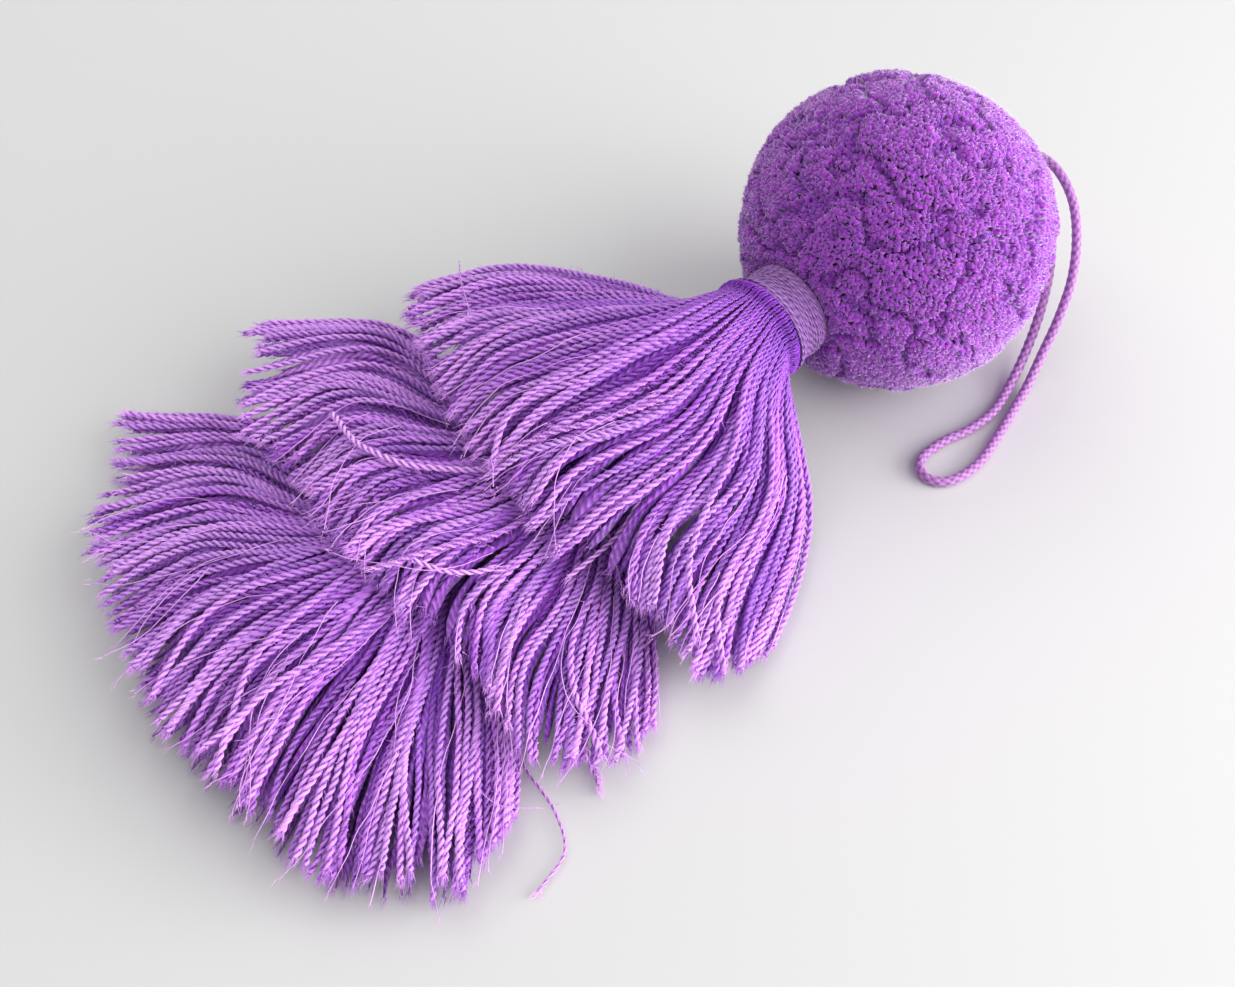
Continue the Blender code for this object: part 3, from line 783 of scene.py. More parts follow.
def guide_object(name, lines):
    """A mesh of open lines. Each line is its points, with thick, tone, loose and shade at each point."""
    mesh = bpy.data.meshes.new(name)
    points = np.concatenate([line[0] for line in lines])
    edges = []
    start = 0
    for line in lines:
        count = len(line[0])
        edges += [(start + step, start + step + 1) for step in range(count - 1)]
        start += count
    mesh.from_pydata(points.tolist(), edges, [])
    for order, label in enumerate(("thick", "tone", "loose", "shade"), start=1):
        values = np.concatenate([np.broadcast_to(line[order], len(line[0])) for line in lines])
        mesh.attributes.new(label, "FLOAT", "POINT").data.foreach_set("value", values.astype(np.float32))
    return bpy.data.objects.new(name, mesh)


def smooth_point(points, place):
    """The point at a place, 0 to 1, on the smooth curve through points that share it out evenly."""
    last = len(points) - 1
    step = min(int(place * last), last - 1)
    part = place * last - step
    start, end = points[step], points[step + 1]
    before = points[step - 1] if step > 0 else start * 2 - end
    beyond = points[step + 2] if step + 2 <= last else end * 2 - start
    leave, arrive = (end - before) / 2, (beyond - start) / 2
    square, cube = part * part, part * part * part
    return (
        start * (2 * cube - 3 * square + 1) + leave * (cube - 2 * square + part)
        + end * (3 * square - 2 * cube) + arrive * (cube - square)
    )


def smooth_line(route, count):
    points = [np.array(point, float) for point in route]
    return np.array([smooth_point(points, step / (count - 1)) for step in range(count)])


def hem_reach(hem, share):
    """The reach of the cut ends beside the last section, between the rows of a hem table."""
    for row, after in zip(hem, hem[1:]):
        if share <= after.share:
            part = (share - row.share) / (after.share - row.share)
            ease = part * part * (3 - 2 * part)
            return row.reach + (after.reach - row.reach) * ease
    return hem[-1].reach


def ring_point(tier, degrees, radius, ahead=0):
    """A place on the tier's head, at an angle from its -Y side and a radius in mm."""
    pitch = math.radians(tier.pitch)
    angle = np.radians(degrees)
    back = np.array((-math.cos(pitch), 0, -math.sin(pitch)))
    side = np.array((0, -1, 0))
    up = np.cross(back, side)
    middle = np.array((tier.ring_x, tier.ring_y, tier.ring_z)) - back * ahead
    turned = np.multiply.outer(np.cos(angle), side) + np.multiply.outer(np.sin(angle), up)
    return (middle + turned * np.expand_dims(radius, -1)) * MM


def section_line(tier, sections, hem, order):
    """A section of a coat as points spaced evenly along its length, edge to edge."""
    section = sections[order]
    weight = (order + 1) / len(sections)
    heights = np.array(section[3:], float)
    line = []
    for share in np.linspace(0, 1, 2 * SHARES + 1):
        angle = math.radians(section.from_deg + (section.to_deg - section.from_deg) * share)
        reach = section.reach * (1 + (hem_reach(hem, share) - 1) * weight)
        height = smooth_point(heights, share)
        line.append((tier.ring_x - reach * math.cos(angle), tier.ring_y - reach * math.sin(angle), height))
    line = np.array(line) * MM
    run = np.concatenate(([0], np.cumsum(np.linalg.norm(np.diff(line, axis=0), axis=1))))
    wanted = np.linspace(0, run[-1], SHARES + 1)
    return np.stack([np.interp(wanted, run, line[:, axis]) for axis in range(3)], axis=1)


def coat_surface(tier, sections, hem, ring):
    """A coat's middle surface and its normals, as grids from edge to edge and from ring to hem."""
    shares = np.linspace(0, 1, SHARES + 1)
    radius = (tier.outer_radius + tier.inner_radius) / 2
    rows = [ring_point(tier, ring[0] + (ring[1] - ring[0]) * shares, np.full(SHARES + 1, radius))]
    rows += [section_line(tier, sections, hem, order) for order in range(len(sections))]
    grid = np.array([smooth_point(rows, step / PLACES) for step in range(PLACES + 1)]).transpose(1, 0, 2)
    across = np.gradient(grid, axis=0)
    along = np.gradient(grid, axis=1)
    normals = np.cross(along, across)
    normals /= np.linalg.norm(normals, axis=2, keepdims=True) + 1e-12
    return grid, normals


def sample(grid, share, place):
    """Values of a grid at shares of its width and places along it, read between its points."""
    column = np.clip(share, 0, 1) * SHARES
    row = np.clip(place, 0, 1) * PLACES
    left = np.minimum(column.astype(int), SHARES - 1)
    low = np.minimum(row.astype(int), PLACES - 1)
    across, along = (column - left)[..., None], (row - low)[..., None]
    near = grid[left, low] * (1 - across) + grid[left + 1, low] * across
    far = grid[left, low + 1] * (1 - across) + grid[left + 1, low + 1] * across
    return near * (1 - along) + far * along


def clump_yarns(count, rng):
    """Groups neighbouring yarns. Returns each yarn's clump, and its place in it from -1 to 1."""
    clump, inside = [], []
    while len(clump) < count:
        size = int(rng.integers(3, 7))
        number = clump[-1] + 1 if clump else 0
        clump += [number] * size
        inside += list(np.linspace(-1, 1, size))
    return np.array(clump[:count]), np.array(inside[:count])


def parting_turn(tier, share, place):
    """How far, in radians, the fan's partings push a yarn aside."""
    away = share - tier.parting.share
    turn = tier.parting.degrees / 2 * np.exp(-np.abs(away) / PARTING_SPREAD) * np.sign(away)
    return np.radians(turn) * place * place


def drift(across, place, rng):
    """A smooth random push that neighbouring yarns share, about one unit strong."""
    push = 0
    for _ in range(DRIFT_WAVES):
        cycles = 1 / rng.uniform(6, 14)
        turns = across * cycles + place * rng.uniform(-1.2, 1.2) + rng.random()
        push = push + np.sin(2 * math.pi * turns)
    return push / math.sqrt(DRIFT_WAVES / 2)


def wander(place, count, rng):
    """Each yarn's own smooth random push, about one unit strong."""
    turns = place * rng.uniform(0.7, 2.2, (count, 1)) + rng.random((count, 1))
    return np.sin(2 * math.pi * turns)


def layer_lines(tier, over, under, layer, settings, rng):
    """The yarns of one layer: bunched a little, unevenly cut, a few of them straying."""
    count = layer.count
    clump, inside = clump_yarns(count, rng)
    clumps = clump.max() + 1
    pitch = (layer.stop - layer.start) / count
    share = layer.start + pitch * (np.arange(count) + 0.5 + rng.uniform(-0.25, 0.25, count))
    centre = np.array([share[clump == number].mean() for number in range(clumps)])[clump]
    cut = settings.uneven * (0.4 * rng.random(count) + 0.6 * rng.random(clumps)[clump])
    cut += 0.02 * inside * inside
    place = np.linspace(0, 1, GUIDE_POINTS)[None, :] * (layer.reach * (1.02 - cut))[:, None]
    freedom = np.sin(0.5 * math.pi * np.minimum(place * 1.4, 1))
    freedom = freedom * np.clip(np.minimum(share, 1 - share) / 0.1, 0.15, 1)[:, None]
    across = (share / pitch)[:, None]
    hidden = layer.lift < -1 or layer.mix > 0
    push = (0.25 if hidden else 0.75) * drift(across, place, rng) + 0.35 * wander(place, count, rng)
    pull = layer.clumping * np.sin(2.3 * place)
    stray = (rng.random(count) < STRAY_SHARE) * rng.choice((-1, 1), count) * rng.uniform(0.4, 1, count)
    stray = (stray * (layer.lift > 0))[:, None]
    moving = share[:, None] + (centre - share)[:, None] * pull + pitch * freedom * push
    moving += stray * 7 * pitch * place * place
    lift = 0.35 * wander(place, count, rng) + 0.3 * drift(across, place, rng)
    lift = layer.lift + freedom * (lift + 1.9 * np.abs(stray))
    points = coat_points(over, under, layer, moving, place, lift)
    turn = parting_turn(tier, share[:, None], place) * (1 - layer.mix) * (1 - 0.8 * hidden)
    turn_about_ring(tier, points, turn)
    thick = yarn_thickness(layer, place, hidden)
    return share, points, thick, yarn_shade(layer, place, lift), np.clip(place * 1.6, 0, 1)


def coat_points(over, under, layer, share, place, lift):
    """Places on a layer between two coats, lifted off it by some mm. Past the hem they run straight on."""
    crowding = 0.6 + 0.4 * np.minimum(place * 2, 1)
    shape = over[0] * (1 - layer.mix) + under[0] * layer.mix
    upward = over[1] * (1 - layer.mix) - under[1] * layer.mix
    points = sample(shape, share, place)
    points = points + sample(upward, share, place) * (lift * crowding * MM)[..., None]
    beyond = np.maximum(place - 1, 0)[..., None] * (GUIDE_POINTS - 1)
    return points + (points[:, -2:-1] - points[:, -3:-2]) * beyond


def turn_about_ring(tier, points, turn):
    """Turns points about the upright axis through the middle of the tier's head."""
    ring = np.array((tier.ring_x, tier.ring_y)) * MM
    aside = points[..., :2] - ring
    points[..., 0] = ring[0] + aside[..., 0] * np.cos(turn) - aside[..., 1] * np.sin(turn)
    points[..., 1] = ring[1] + aside[..., 0] * np.sin(turn) + aside[..., 1] * np.cos(turn)


def yarn_thickness(layer, place, hidden):
    """Thin at the root, full from a third of the way on. A hidden yarn is bulkier, with a thin end."""
    bulk = HIDDEN_BULK if hidden and layer.mix < 1 else 1
    thick = ROOT_THICKNESS + (bulk - ROOT_THICKNESS) * np.clip(place / SWELL_LENGTH, 0, 1)
    if hidden:
        thick[:, -1] *= HIDDEN_END
    return thick


def yarn_shade(layer, place, lift):
    """Painted shade: darker where a yarn lies below its layer and towards its root, lighter towards its tip.
    """
    shade = layer.shade * (1 - 0.5 * place ** 3)
    shade = shade + (1 - shade) * SUNK_PAINTED_SHADE * np.clip(0.1 + layer.lift - lift, 0, 1)
    return shade + (1 - shade) * ROOT_PAINTED_SHADE * np.clip(1 - place / ROOT_LENGTH, 0, 1)


def lead_in(tier, layer, share):
    """Points that carry yarns from the front of the tier's head back to its ring."""
    ring = RING_UNDER if layer.mix > 0.5 else RING_OVER
    degrees = ring[0] + (ring[1] - ring[0]) * share
    depth = layer.lift - 2 * layer.mix
    rows = (
        (tier.head_length * 0.98, tier.front_radius + 0.2 + depth * 0.3),
        (tier.head_length * 0.5, (tier.front_radius + tier.outer_radius) / 2 + 0.3 + depth * 0.5),
    )
    return np.stack(
        [ring_point(tier, degrees, np.full(len(share), radius), ahead) for ahead, radius in rows], axis=1,
    )


def tier_lines(tier, layers, settings, rng):
    """Guide lines for all yarns of some layers of a tier, each led in from the front of its head."""
    over = coat_surface(tier, tier.over, tier.hem, RING_OVER)
    under = coat_surface(tier, tier.under, tier.under_hem, RING_UNDER)
    lines = []
    for layer in layers:
        share, points, thick, shade, loose = layer_lines(tier, over, under, layer, settings, rng)
        points = np.concatenate([lead_in(tier, layer, share), points], axis=1)
        tones = rng.random(len(share))
        for order, line in enumerate(points):
            lines.append((
                line,
                np.concatenate((LEAD_THICKNESS, thick[order])),
                tones[order],
                np.concatenate(((0, 0), loose[order])),
                # The lead-in points carry full painted shade.
                np.concatenate(((1, 1), shade[order])),
            ))
    return lines


# Operators


def finish_piece(piece, slot, *nodes):
    """Hands a finished piece to the frame: what it rides on and the parts it replaces. Its slot is not used.
    """
    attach(piece, "root")
    if nodes:
        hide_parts(*nodes)
    return piece


def turn_toward(item, place):
    """Puts an item at a place and aims it at the middle of the picture."""
    item.location = place
    item.rotation_euler = (Vector(CAMERA_TARGET) - Vector(place)).to_track_quat("-Z", "Y").to_euler()


class POMPOM_OT_stage(bpy.types.Operator):
    """Sets up the floor, the soft daylight and the camera"""

    bl_idname = "pompom.stage"
    bl_label = "Stage"

    def execute(self, context):
        settings = context.scene.pompom_stage
        self.add_camera(context)
        self.add_floor(settings)
        for lamp in LAMPS:
            light = bpy.data.lights.new(lamp.name, "AREA")
            light.size = lamp.size
            light.energy = settings.key_power * lamp.share
            turn_toward(show(lamp.name, light), lamp.place)
        world = bpy.data.worlds.new("soft room")
        world.use_nodes = True
        sky = world.node_tree.nodes["Background"]
        sky.inputs["Color"].default_value = SKY_COLOUR
        sky.inputs["Strength"].default_value = settings.sky_strength
        context.scene.world = world
        context.scene.view_settings.view_transform = "Standard"
        return {"FINISHED"}

    def add_camera(self, context):
        lens = bpy.data.cameras.new("camera")
        lens.sensor_width = SENSOR_WIDTH
        lens.lens = CAMERA_LENS
        lens.clip_start = 0.01
        camera = show("camera", lens)
        turn_toward(camera, CAMERA_PLACE)
        context.scene.camera = camera

    def add_floor(self, settings):
        half = settings.floor_size / 2
        mesh = bpy.data.meshes.new("floor")
        corners = [(-half, -half, 0), (half, -half, 0), (half, half, 0), (-half, half, 0)]
        mesh.from_pydata(corners, [], [(0, 1, 2, 3)])
        material, _, shader = start_material("pale floor")
        shader.inputs["Base Color"].default_value = FLOOR_COLOUR
        shader.inputs["Roughness"].default_value = 0.9
        mesh.materials.append(material)
        show("floor", mesh)


class POMPOM_OT_hanging_loop(bpy.types.Operator):
    """Braids the thin hanging loop along its route"""

    bl_idname = "pompom.hanging_loop"
    bl_label = "Hanging loop"

    def execute(self, context):
        settings = context.scene.pompom_loop
        count = (len(LOOP_ROUTE) - 1) * LOOP_SPANS + 1
        path = smooth_line(LOOP_ROUTE, count)
        guide = guide_object("loop guide", [(path, 1, 0, 0, 0)])
        piece = run_tree("hanging_loop_braid", guide, self.braid_tree(), {
            "Cord Radius": LOOP_DIAMETER / 2 - settings.braid_relief / 2,
            "Braid Pitch": settings.braid_pitch,
            "Braid Relief": settings.braid_relief,
            "Ring Spacing": BRAID_STEP,
            "Finish": self.cord_material(settings),
        })
        finish_piece(piece, "mauve braided cord", "hanging_loop")
        return {"FINISHED"}

    def braid_tree(self):
        """A round cord whose surface rises and falls as the strands of a braid cross."""
        tree, sizes = start_tree("braided cord", "Cord Radius", "Braid Pitch", "Braid Relief", "Ring Spacing")
        curve = result(tree, "GeometryNodeMeshToCurve", {"Mesh": sizes["Geometry"]})
        curve = even_curve(tree, curve, sizes["Ring Spacing"])
        curve = store(tree, curve, "run", add(tree, "GeometryNodeSplineParameter").outputs["Length"])
        step = add(tree, "GeometryNodeSplineParameter").outputs["Index"]
        around = times(tree, step, 2 * math.pi / CORD_SIDES)
        profile = store(tree, circle(tree, sizes["Cord Radius"], CORD_SIDES), "around", around)
        cord = swept(tree, curve, profile)
        columns = maths(tree, "COSINE", times(tree, named(tree, "around"), BRAID_COLUMNS))
        along = maths(tree, "DIVIDE", named(tree, "run"), sizes["Braid Pitch"])
        weave = times(tree, columns, maths(tree, "COSINE", times(tree, along, 2 * math.pi)))
        cord = store(tree, cord, "weave", weave)
        normal = result(tree, "GeometryNodeInputNormal")
        push = scaled(tree, normal, times(tree, weave, sizes["Braid Relief"]))
        return end_tree(tree, smoothed(tree, placed(tree, cord, Offset=push)), sizes["Finish"])

    def cord_material(self, settings):
        material, tree, shader = start_material("mauve braided cord")
        # Painted shade in the braid's hollows where the weave sinks, and painted glints as pale flecks.
        shade = ramp(tree, attribute(tree, "weave"), -0.8, 0.7)
        base = blend_colours(tree, shade, tinted(settings.lit, 0.3), settings.lit)
        place = add(tree, "ShaderNodeTexCoord").outputs["Object"]
        fleck = noise(tree, place, 2600.0, 1.0)["Fac"]
        glint = ramp(tree, fleck, 0.55, 0.8, end=0.6)
        colour = blend_colours(tree, glint, base, tinted(settings.lit, 1.7))
        coat(tree, shader, colour, 0.6, 0.3, CORD_SHEEN)
        add_bump(tree, shader, fleck, 0.1 * MM, 0.4)
        return material


class POMPOM_OT_pile(bpy.types.Operator):
    """Covers the ball with cut pile and loose fibres"""

    bl_idname = "pompom.pile"
    bl_label = "Cut pile"

    def execute(self, context):
        settings = context.scene.pompom_pile
        finish = self.pile_material("violet cut pile", settings.deep, settings.lit)
        core = self.ball_core(finish)
        finish_piece(core, "violet cut pile")
        shared = {"Ball Radius": BALL_RADIUS, "Cleft Depth": settings.cleft_depth}
        pile = run_tree("pompom_pile", self.seed_ball("pile guide"), self.pile_tree("cut pile", False), {
            **shared, "Gap": settings.tuft_gap, "Tuft Radius": settings.tuft_radius,
            "Tuft Length": settings.tuft_length, "Seed": SEED, "Finish": finish,
        })
        finish_piece(pile, "violet cut pile", "pompom")
        # The loose fibres pale toward their tips, a painted highlight for light through them.
        fuzz = run_tree("pompom_fuzz", self.seed_ball("fuzz guide"), self.pile_tree("loose fibres", True), {
            **shared, "Gap": settings.fuzz_gap, "Tuft Radius": FUZZ_WIDTH,
            "Tuft Length": FUZZ_LENGTH, "Seed": SEED + 1,
            "Finish": self.pile_material("pale pile fuzz", settings.lit, settings.pale),
        })
        finish_piece(fuzz, "violet cut pile")
        return {"FINISHED"}

    def seed_ball(self, name):
        """A ball of unit radius on which the pile is sown."""
        bm = bmesh.new()
        bmesh.ops.create_icosphere(bm, subdivisions=5, radius=1)
        mesh = bpy.data.meshes.new(name)
        bm.to_mesh(mesh)
        bm.free()
        return bpy.data.objects.new(name, mesh)

    def ball_core(self, finish):
        """The dense middle of the pile, seen only between the yarn ends."""
        core = self.seed_ball("pompom_core")
        for point in core.data.vertices:
            reach = BALL_RADIUS
            for normal, distance in PILE_STOPS:
                reach = min(reach, distance / max(point.co.dot(Vector(normal)), 0.001))
            point.co = Vector(BALL_CENTRE) + point.co * (reach - CORE_DEPTH)
        count = len(core.data.vertices)
        # Painted shade: the whole core takes the pile's deep colour.
        core.data.attributes.new("depth", "FLOAT", "POINT").data.foreach_set("value", [1.0] * count)
        core.data.materials.append(finish)
        core.data.shade_smooth()
        bpy.context.scene.collection.objects.link(core)
        return core

    def pile_tree(self, name, loose):
        """Yarn ends sown over a ball, leaning together in tufts, with clefts and flats."""
        tree, sizes = start_tree(
            name, "Ball Radius", "Gap", "Tuft Radius", "Tuft Length", "Cleft Depth", "Seed",
        )
        radius = sizes["Ball Radius"]
        points = result(tree, "GeometryNodeDistributePointsOnFaces", {
            "Mesh": reshaped(tree, sizes["Geometry"], Scale=combine(tree, X=radius, Y=radius, Z=radius)),
            "Distance Min": sizes["Gap"], "Density Max": MOST_TUFTS, "Seed": sizes["Seed"],
        }, distribute_method="POISSON")
        place = here(tree)
        outward = vectors(tree, "NORMALIZE", place)
        cells = add(tree, "ShaderNodeTexVoronoi", {"Vector": place, "Scale": TUFTS_PER_METRE})
        toward = vectors(tree, "SUBTRACT", cells.outputs["Position"], place)
        broad = less(tree, noise(tree, place, LOCKS_PER_METRE, 2.0)["Fac"], 0.5)
        depth = self.pile_depth(tree, sizes, toward, broad)
        reach = plus(tree, less(tree, radius, depth), times(tree, broad, LOCK_SWELL))
        points = store(tree, points, "outward", outward, kind="FLOAT_VECTOR")
        points = store(tree, points, "toward", scaled(tree, toward, 1 / MM), kind="FLOAT_VECTOR")
        # How far a yarn end is sunk also darkens it, as painted shade in the clefts.
        points = store(tree, points, "sunk", maths(tree, "DIVIDE", depth, 2 * MM))
        tips = scaled(tree, outward, self.stopped(tree, outward, reach))
        points = placed(tree, points, Position=vectors(tree, "ADD", tips, BALL_CENTRE))
        wide = times(tree, sizes["Tuft Radius"], chance(tree, 0.75, 1.2, 7))
        long = times(tree, sizes["Tuft Length"], chance(tree, 0.8, 1.1, 8))
        tufts = copied(tree, points, self.yarn_end(tree, loose), self.leaning(tree, loose), wide, long)
        tufts = store(tree, tufts, "tone", chance(tree, 0.0, 1.0, 9), domain="INSTANCE")
        return end_tree(tree, smoothed(tree, settle(tree, tufts)), sizes["Finish"])

    def pile_depth(self, tree, sizes, toward, broad):
        """How far a yarn end lies below the ball's surface: in the clefts, at a tuft's edge, by chance."""
        cleft = ramp(tree, maths(tree, "ABSOLUTE", broad), 0.0, CLEFT_WIDTH, 1.0, 0.0)
        tuft_edge = times(tree, vectors(tree, "LENGTH", toward), TUFTS_PER_METRE)
        depth = times(tree, cleft, sizes["Cleft Depth"])
        depth = plus(tree, depth, times(tree, tuft_edge, TUFT_CROWN))
        return plus(tree, depth, chance(tree, -0.05 * MM, 0.4 * MM, 3))

    def stopped(self, tree, outward, reach):
        """A reach cut short where the ball meets the surface, the neck and the loop."""
        for normal, distance in PILE_STOPS:
            facing = maths(tree, "MAXIMUM", vectors(tree, "DOT_PRODUCT", outward, normal), 0.001)
            reach = maths(tree, "MINIMUM", reach, maths(tree, "DIVIDE", distance, facing))
        return reach

    def leaning(self, tree, loose):
        """Outward, with a lean toward the middle of the tuft and one by chance, and any turn about it."""
        lean = scaled(tree, named(tree, "toward", "FLOAT_VECTOR"), 0.1 if loose else 0.35)
        aim = vectors(tree, "ADD", named(tree, "outward", "FLOAT_VECTOR"), lean)
        aim = vectors(tree, "ADD", aim, chance_vector(tree, 0.6 if loose else 0.16, 5))
        spin = {"Axis": (0, 0, 1), "Angle": chance(tree, 0.0, 6.28, 6)}
        spin = result(tree, "FunctionNodeAxisAngleToRotation", spin)
        turns = {"Rotation": aimed(tree, aim), "Rotate By": spin}
        return result(tree, "FunctionNodeRotateRotation", turns, rotation_space="LOCAL")

    def yarn_end(self, tree, loose):
        """One yarn end of unit size with its tip just above the origin, or one loose fibre."""
        if loose:
            end = reshaped(tree, spike(tree, 0.0, 1.0, 1.0), Translation=(0, 0, -0.75))
        else:
            lower = reshaped(tree, spike(tree, 1.0, 0.0, 0.9), Translation=(0, 0, -0.96))
            upper = reshaped(tree, spike(tree, 0.0, 1.0, 0.09), Translation=(0, 0, -0.06))
            both = {"Geometry": joined(tree, upper, lower), "Distance": 0.001}
            end = result(tree, "GeometryNodeMergeByDistance", both)
        # The depth down a yarn end drives its painted shade.
        return store(tree, end, "depth", times(tree, separate(tree, here(tree))["Z"], -1.0))

    def pile_material(self, name, deep, lit):
        """Soft yarn ends with painted shade: darker toward their roots between the tufts and where they sink
        into the clefts.
        """
        material, tree, shader = start_material(name)
        sunk = times(tree, attribute(tree, "sunk"), 0.5)
        low = maths(tree, "MULTIPLY_ADD", attribute(tree, "depth"), 2.0, sunk)
        base = blend_colours(tree, maths(tree, "MINIMUM", low, 1.0), lit, deep)
        coat(tree, shader, varied(tree, base, attribute(tree, "tone"), 0.03), 0.85, 1.0, PILE_SHEEN)
        return material


class POMPOM_OT_neck_wrap(bpy.types.Operator):
    """Winds yarn round the neck"""

    bl_idname = "pompom.neck_wrap"
    bl_label = "Wrapped neck"

    def execute(self, context):
        settings = context.scene.pompom_neck
        # Painted shade: the deep colour is the wrapping yarn darkened, used in the painted ply grooves and
        # over the whole body beneath, which shows only in shade between the turns.
        deep = tinted(settings.lit, 0.35)
        finish = yarn_material("lavender wrapping yarn", deep, settings.lit, coiled=True)
        body = self.turned_body(yarn_material("deep wrapping yarn", deep, deep))
        finish_piece(body, "lavender wrapping yarn", "neck_wrap")
        turns = np.linspace(0, settings.turns, settings.turns * WRAP_STEPS)
        along = np.interp(turns, (0, settings.turns), WRAP_SPAN)
        radius = np.interp(along, [turn.along for turn in NECK_BODY], [turn.radius for turn in NECK_BODY])
        radius += WRAP_LIFT
        radius += LAST_TURNS_LIFT * np.clip(turns - settings.turns + LAST_TURNS, 0, 1)
        line = self.round_neck(along, radius, turns * 2 * math.pi)
        guide = guide_object("neck guide", [(line, 1, 0.4, 0.3, 0)])
        wrap = run_tree("neck_wrap_yarn", guide, yarn_tree("wrapping yarn", 1, 5), {
            "Yarn Radius": settings.yarn_radius, "Twist Pitch": UNTWISTED, "Ring Spacing": 1.2 * MM,
            "Waviness": 0.5 * MM, "Wave Length": 9 * MM, "Fibre Length": 1.5 * MM,
            "Fibre Width": 0.05 * MM, "Fibres Per End": 4, "Fuzz Spacing": 2 * MM, "Finish": finish,
        })
        finish_piece(wrap, "lavender wrapping yarn")
        return {"FINISHED"}

    def round_neck(self, along, radius, angle):
        """Points round the neck's axis, from mm along it and out from it."""
        axis = np.array(NECK_DIRECTION)
        side = np.array((0, 1, 0))
        up = np.cross(axis, side)
        middle = np.array(BALL_CENTRE) + np.multiply.outer(along, axis) * MM
        out = np.multiply.outer(np.cos(angle), side) + np.multiply.outer(np.sin(angle), up)
        return middle + out * np.expand_dims(radius, -1) * MM

    def turned_body(self, finish):
        """The neck below its wrapping: rings of points round its axis, with closed ends."""
        angles = np.arange(NECK_SIDES) * 2 * math.pi / NECK_SIDES
        flat = np.ones(NECK_SIDES)
        rings = [self.round_neck(flat * turn.along, flat * turn.radius, angles) for turn in NECK_BODY]
        last = (len(rings) - 1) * NECK_SIDES
        faces = []
        for low in range(0, last, NECK_SIDES):
            for step in range(NECK_SIDES):
                after = (step + 1) % NECK_SIDES
                high = low + NECK_SIDES
                faces.append((low + step, low + after, high + after, high + step))
        faces.append(tuple(range(NECK_SIDES))[::-1])
        faces.append(tuple(range(last, last + NECK_SIDES)))
        mesh = bpy.data.meshes.new("neck_wrap_body")
        mesh.from_pydata(np.concatenate(rings).tolist(), [], faces)
        mesh.materials.append(finish)
        mesh.shade_smooth()
        return show("neck_wrap_body", mesh)


def tassel_yarn(settings, finish, spacing, fibres, fuzz):
    """The inputs of a yarn tree for yarn of the tassel. Spacings are in mm, fibres at each cut end."""
    return {
        "Yarn Radius": settings.yarn_radius, "Twist Pitch": settings.twist_pitch,
        "Ring Spacing": spacing * MM, "Waviness": settings.waviness, "Wave Length": WAVE_LENGTH,
        "Fibre Length": settings.fibre_length, "Fibre Width": settings.fibre_width,
        "Fibres Per End": fibres, "Fuzz Spacing": fuzz * MM, "Finish": finish,
    }


class POMPOM_OT_tassel(bpy.types.Operator):
    """Lays the yarns of the three tiers"""

    bl_idname = "pompom.tassel"
    bl_label = "Tassel yarns"

    def execute(self, context):
        settings = context.scene.pompom_tassel
        finish = yarn_material("orchid tassel yarn", settings.deep, settings.lit)
        coiled = yarn_material("inner yarn", settings.deep, settings.lit, coiled=True)
        makes = (
            Make("top", TOP_LAYERS, yarn_tree("top yarn", 2, 4), finish, 0.8, 14, 1.4),
            Make("second", SECOND_LAYERS, yarn_tree("second yarn", 2, 3), finish, 0.85, 8, 12),
            Make("inner", INNER_LAYERS, yarn_tree("inner yarn", 1, 3), coiled, 3, 4, 40),
        )
        for order, tier in enumerate(TIERS):
            rng = np.random.default_rng(SEED + order)
            for make in makes:
                lines = tier_lines(tier, make.layers[tier.name], settings, rng)
                guide = guide_object(f"{make.label} guide", lines)
                values = tassel_yarn(settings, make.finish, make.spacing, make.fibres, make.fuzz)
                if make.finish is coiled:
                    values["Twist Pitch"] = UNTWISTED
                yarns = run_tree(f"{tier.name}_{make.label}_yarns", guide, make.tree, values)
                finish_piece(yarns, "orchid tassel yarn", *((tier.name,) if make.label == "top" else ()))
        return {"FINISHED"}


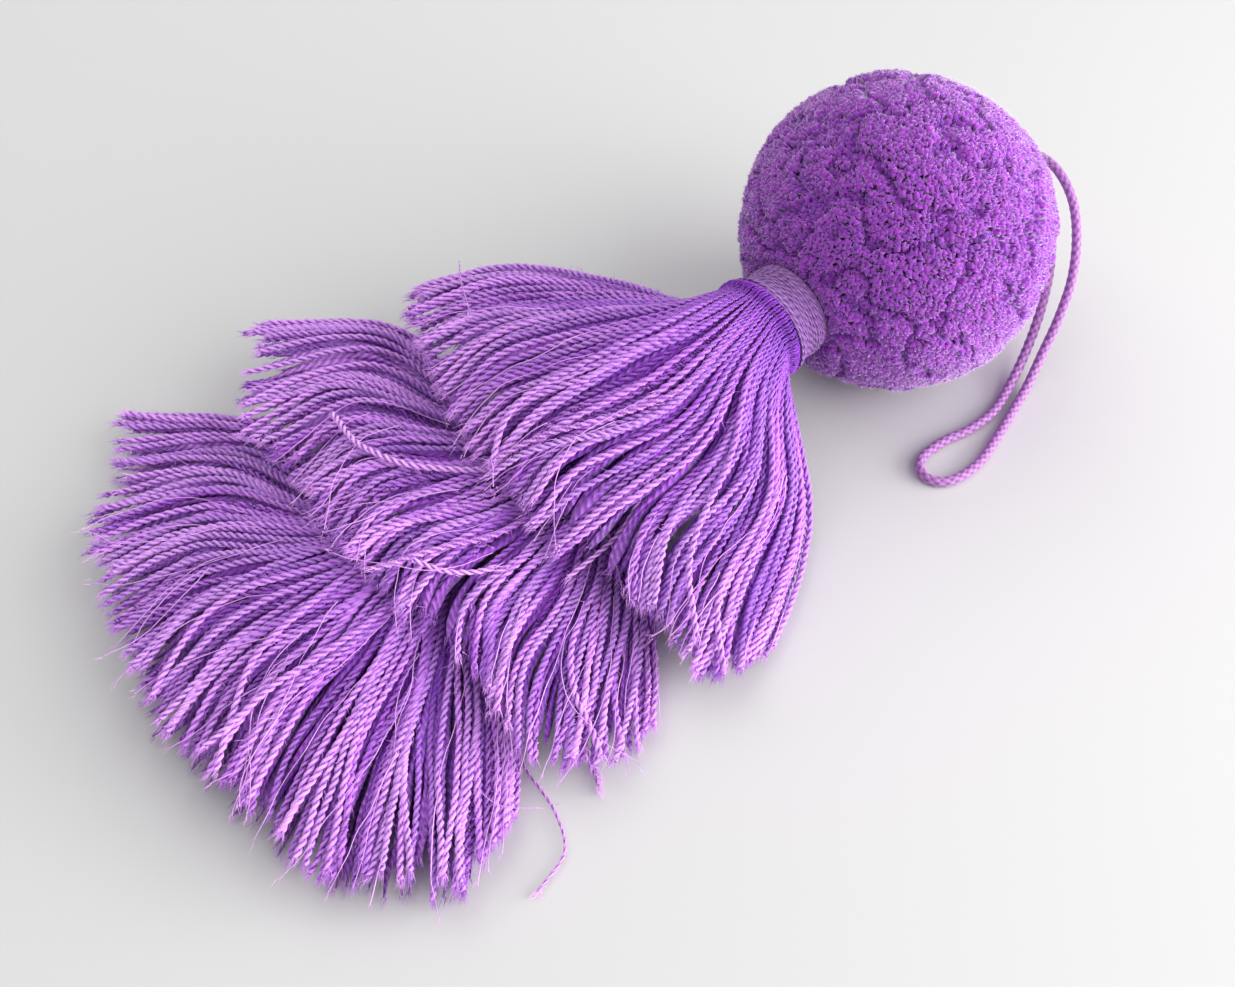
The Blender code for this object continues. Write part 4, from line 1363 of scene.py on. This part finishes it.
class POMPOM_OT_stray_yarns(bpy.types.Operator):
    """Lays the few yarns that have strayed from the tiers, and the fine hairs over their hems"""

    bl_idname = "pompom.stray_yarns"
    bl_label = "Stray yarns and hairs"

    def execute(self, context):
        settings = context.scene.pompom_tassel
        # Painted highlight: the strays and hairs take the tassel yarn colour made lighter, for yarns lying on
        # top in the light.
        finish = yarn_material("stray yarn", settings.deep, tinted(settings.lit, 1.25))
        strays = [(smooth_line(stray.route, STRAY_POINTS) * MM, stray.thick, 0.5, 0.5, 0) for stray in STRAYS]
        guide = guide_object("stray guide", strays)
        values = tassel_yarn(settings, finish, 0.8, 10, 2)
        yarns = run_tree("stray_yarns", guide, yarn_tree("stray yarn", 2, 4), values)
        finish_piece(yarns, "orchid tassel yarn")
        guide = guide_object("hair guide", self.hair_lines(settings))
        values = {
            **tassel_yarn(settings, finish, 1.5, 2, 20),
            "Yarn Radius": settings.hair_radius, "Twist Pitch": UNTWISTED,
            "Waviness": 1.8 * settings.waviness, "Wave Length": 12 * MM,
            "Fibre Width": 0.6 * settings.fibre_width,
        }
        hairs = run_tree("stray_hairs", guide, yarn_tree("fine hair", 1, 3), values)
        finish_piece(hairs, "orchid tassel yarn")
        return {"FINISHED"}

    def hair_lines(self, settings):
        """Single fibres that leave the top yarns part way down and trail over the hems."""
        lines = []
        for order, tier in enumerate(TIERS):
            rng = np.random.default_rng(HAIR_SEED + order)
            for line, _, tone, _, _ in tier_lines(tier, (HAIR_LAYER,), settings, rng):
                lines.append((line[int(rng.integers(*HAIR_STARTS)):], 1, tone, 1, 0))
        return lines


class POMPOM_PT_panel(bpy.types.Panel):
    """Lists the pieces of the pompom and their sizes"""

    bl_idname = "POMPOM_PT_panel"
    bl_label = "Pompom"
    bl_space_type = "VIEW_3D"
    bl_region_type = "UI"
    bl_category = "Pompom"

    def draw(self, context):
        for operator in OPERATORS:
            self.layout.operator(operator.bl_idname)
        for name, group in SETTINGS:
            box = self.layout.box()
            box.label(text=group.__name__)
            for label in group.__annotations__:
                box.prop(getattr(context.scene, name), label)


OPERATORS = (
    POMPOM_OT_stage,
    POMPOM_OT_hanging_loop,
    POMPOM_OT_pile,
    POMPOM_OT_neck_wrap,
    POMPOM_OT_tassel,
    POMPOM_OT_stray_yarns,
)


def register():
    for name, group in SETTINGS:
        bpy.utils.register_class(group)
        setattr(bpy.types.Scene, name, bpy.props.PointerProperty(type=group))
    for item in (*OPERATORS, POMPOM_PT_panel):
        bpy.utils.register_class(item)


def unregister():
    for item in (*OPERATORS, POMPOM_PT_panel):
        bpy.utils.unregister_class(item)
    for name, group in SETTINGS:
        delattr(bpy.types.Scene, name)
        bpy.utils.unregister_class(group)


def main():
    register()
    for operator in OPERATORS:
        group, name = operator.bl_idname.split(".")
        getattr(getattr(bpy.ops, group), name)()


if __name__ == "__main__":
    main()
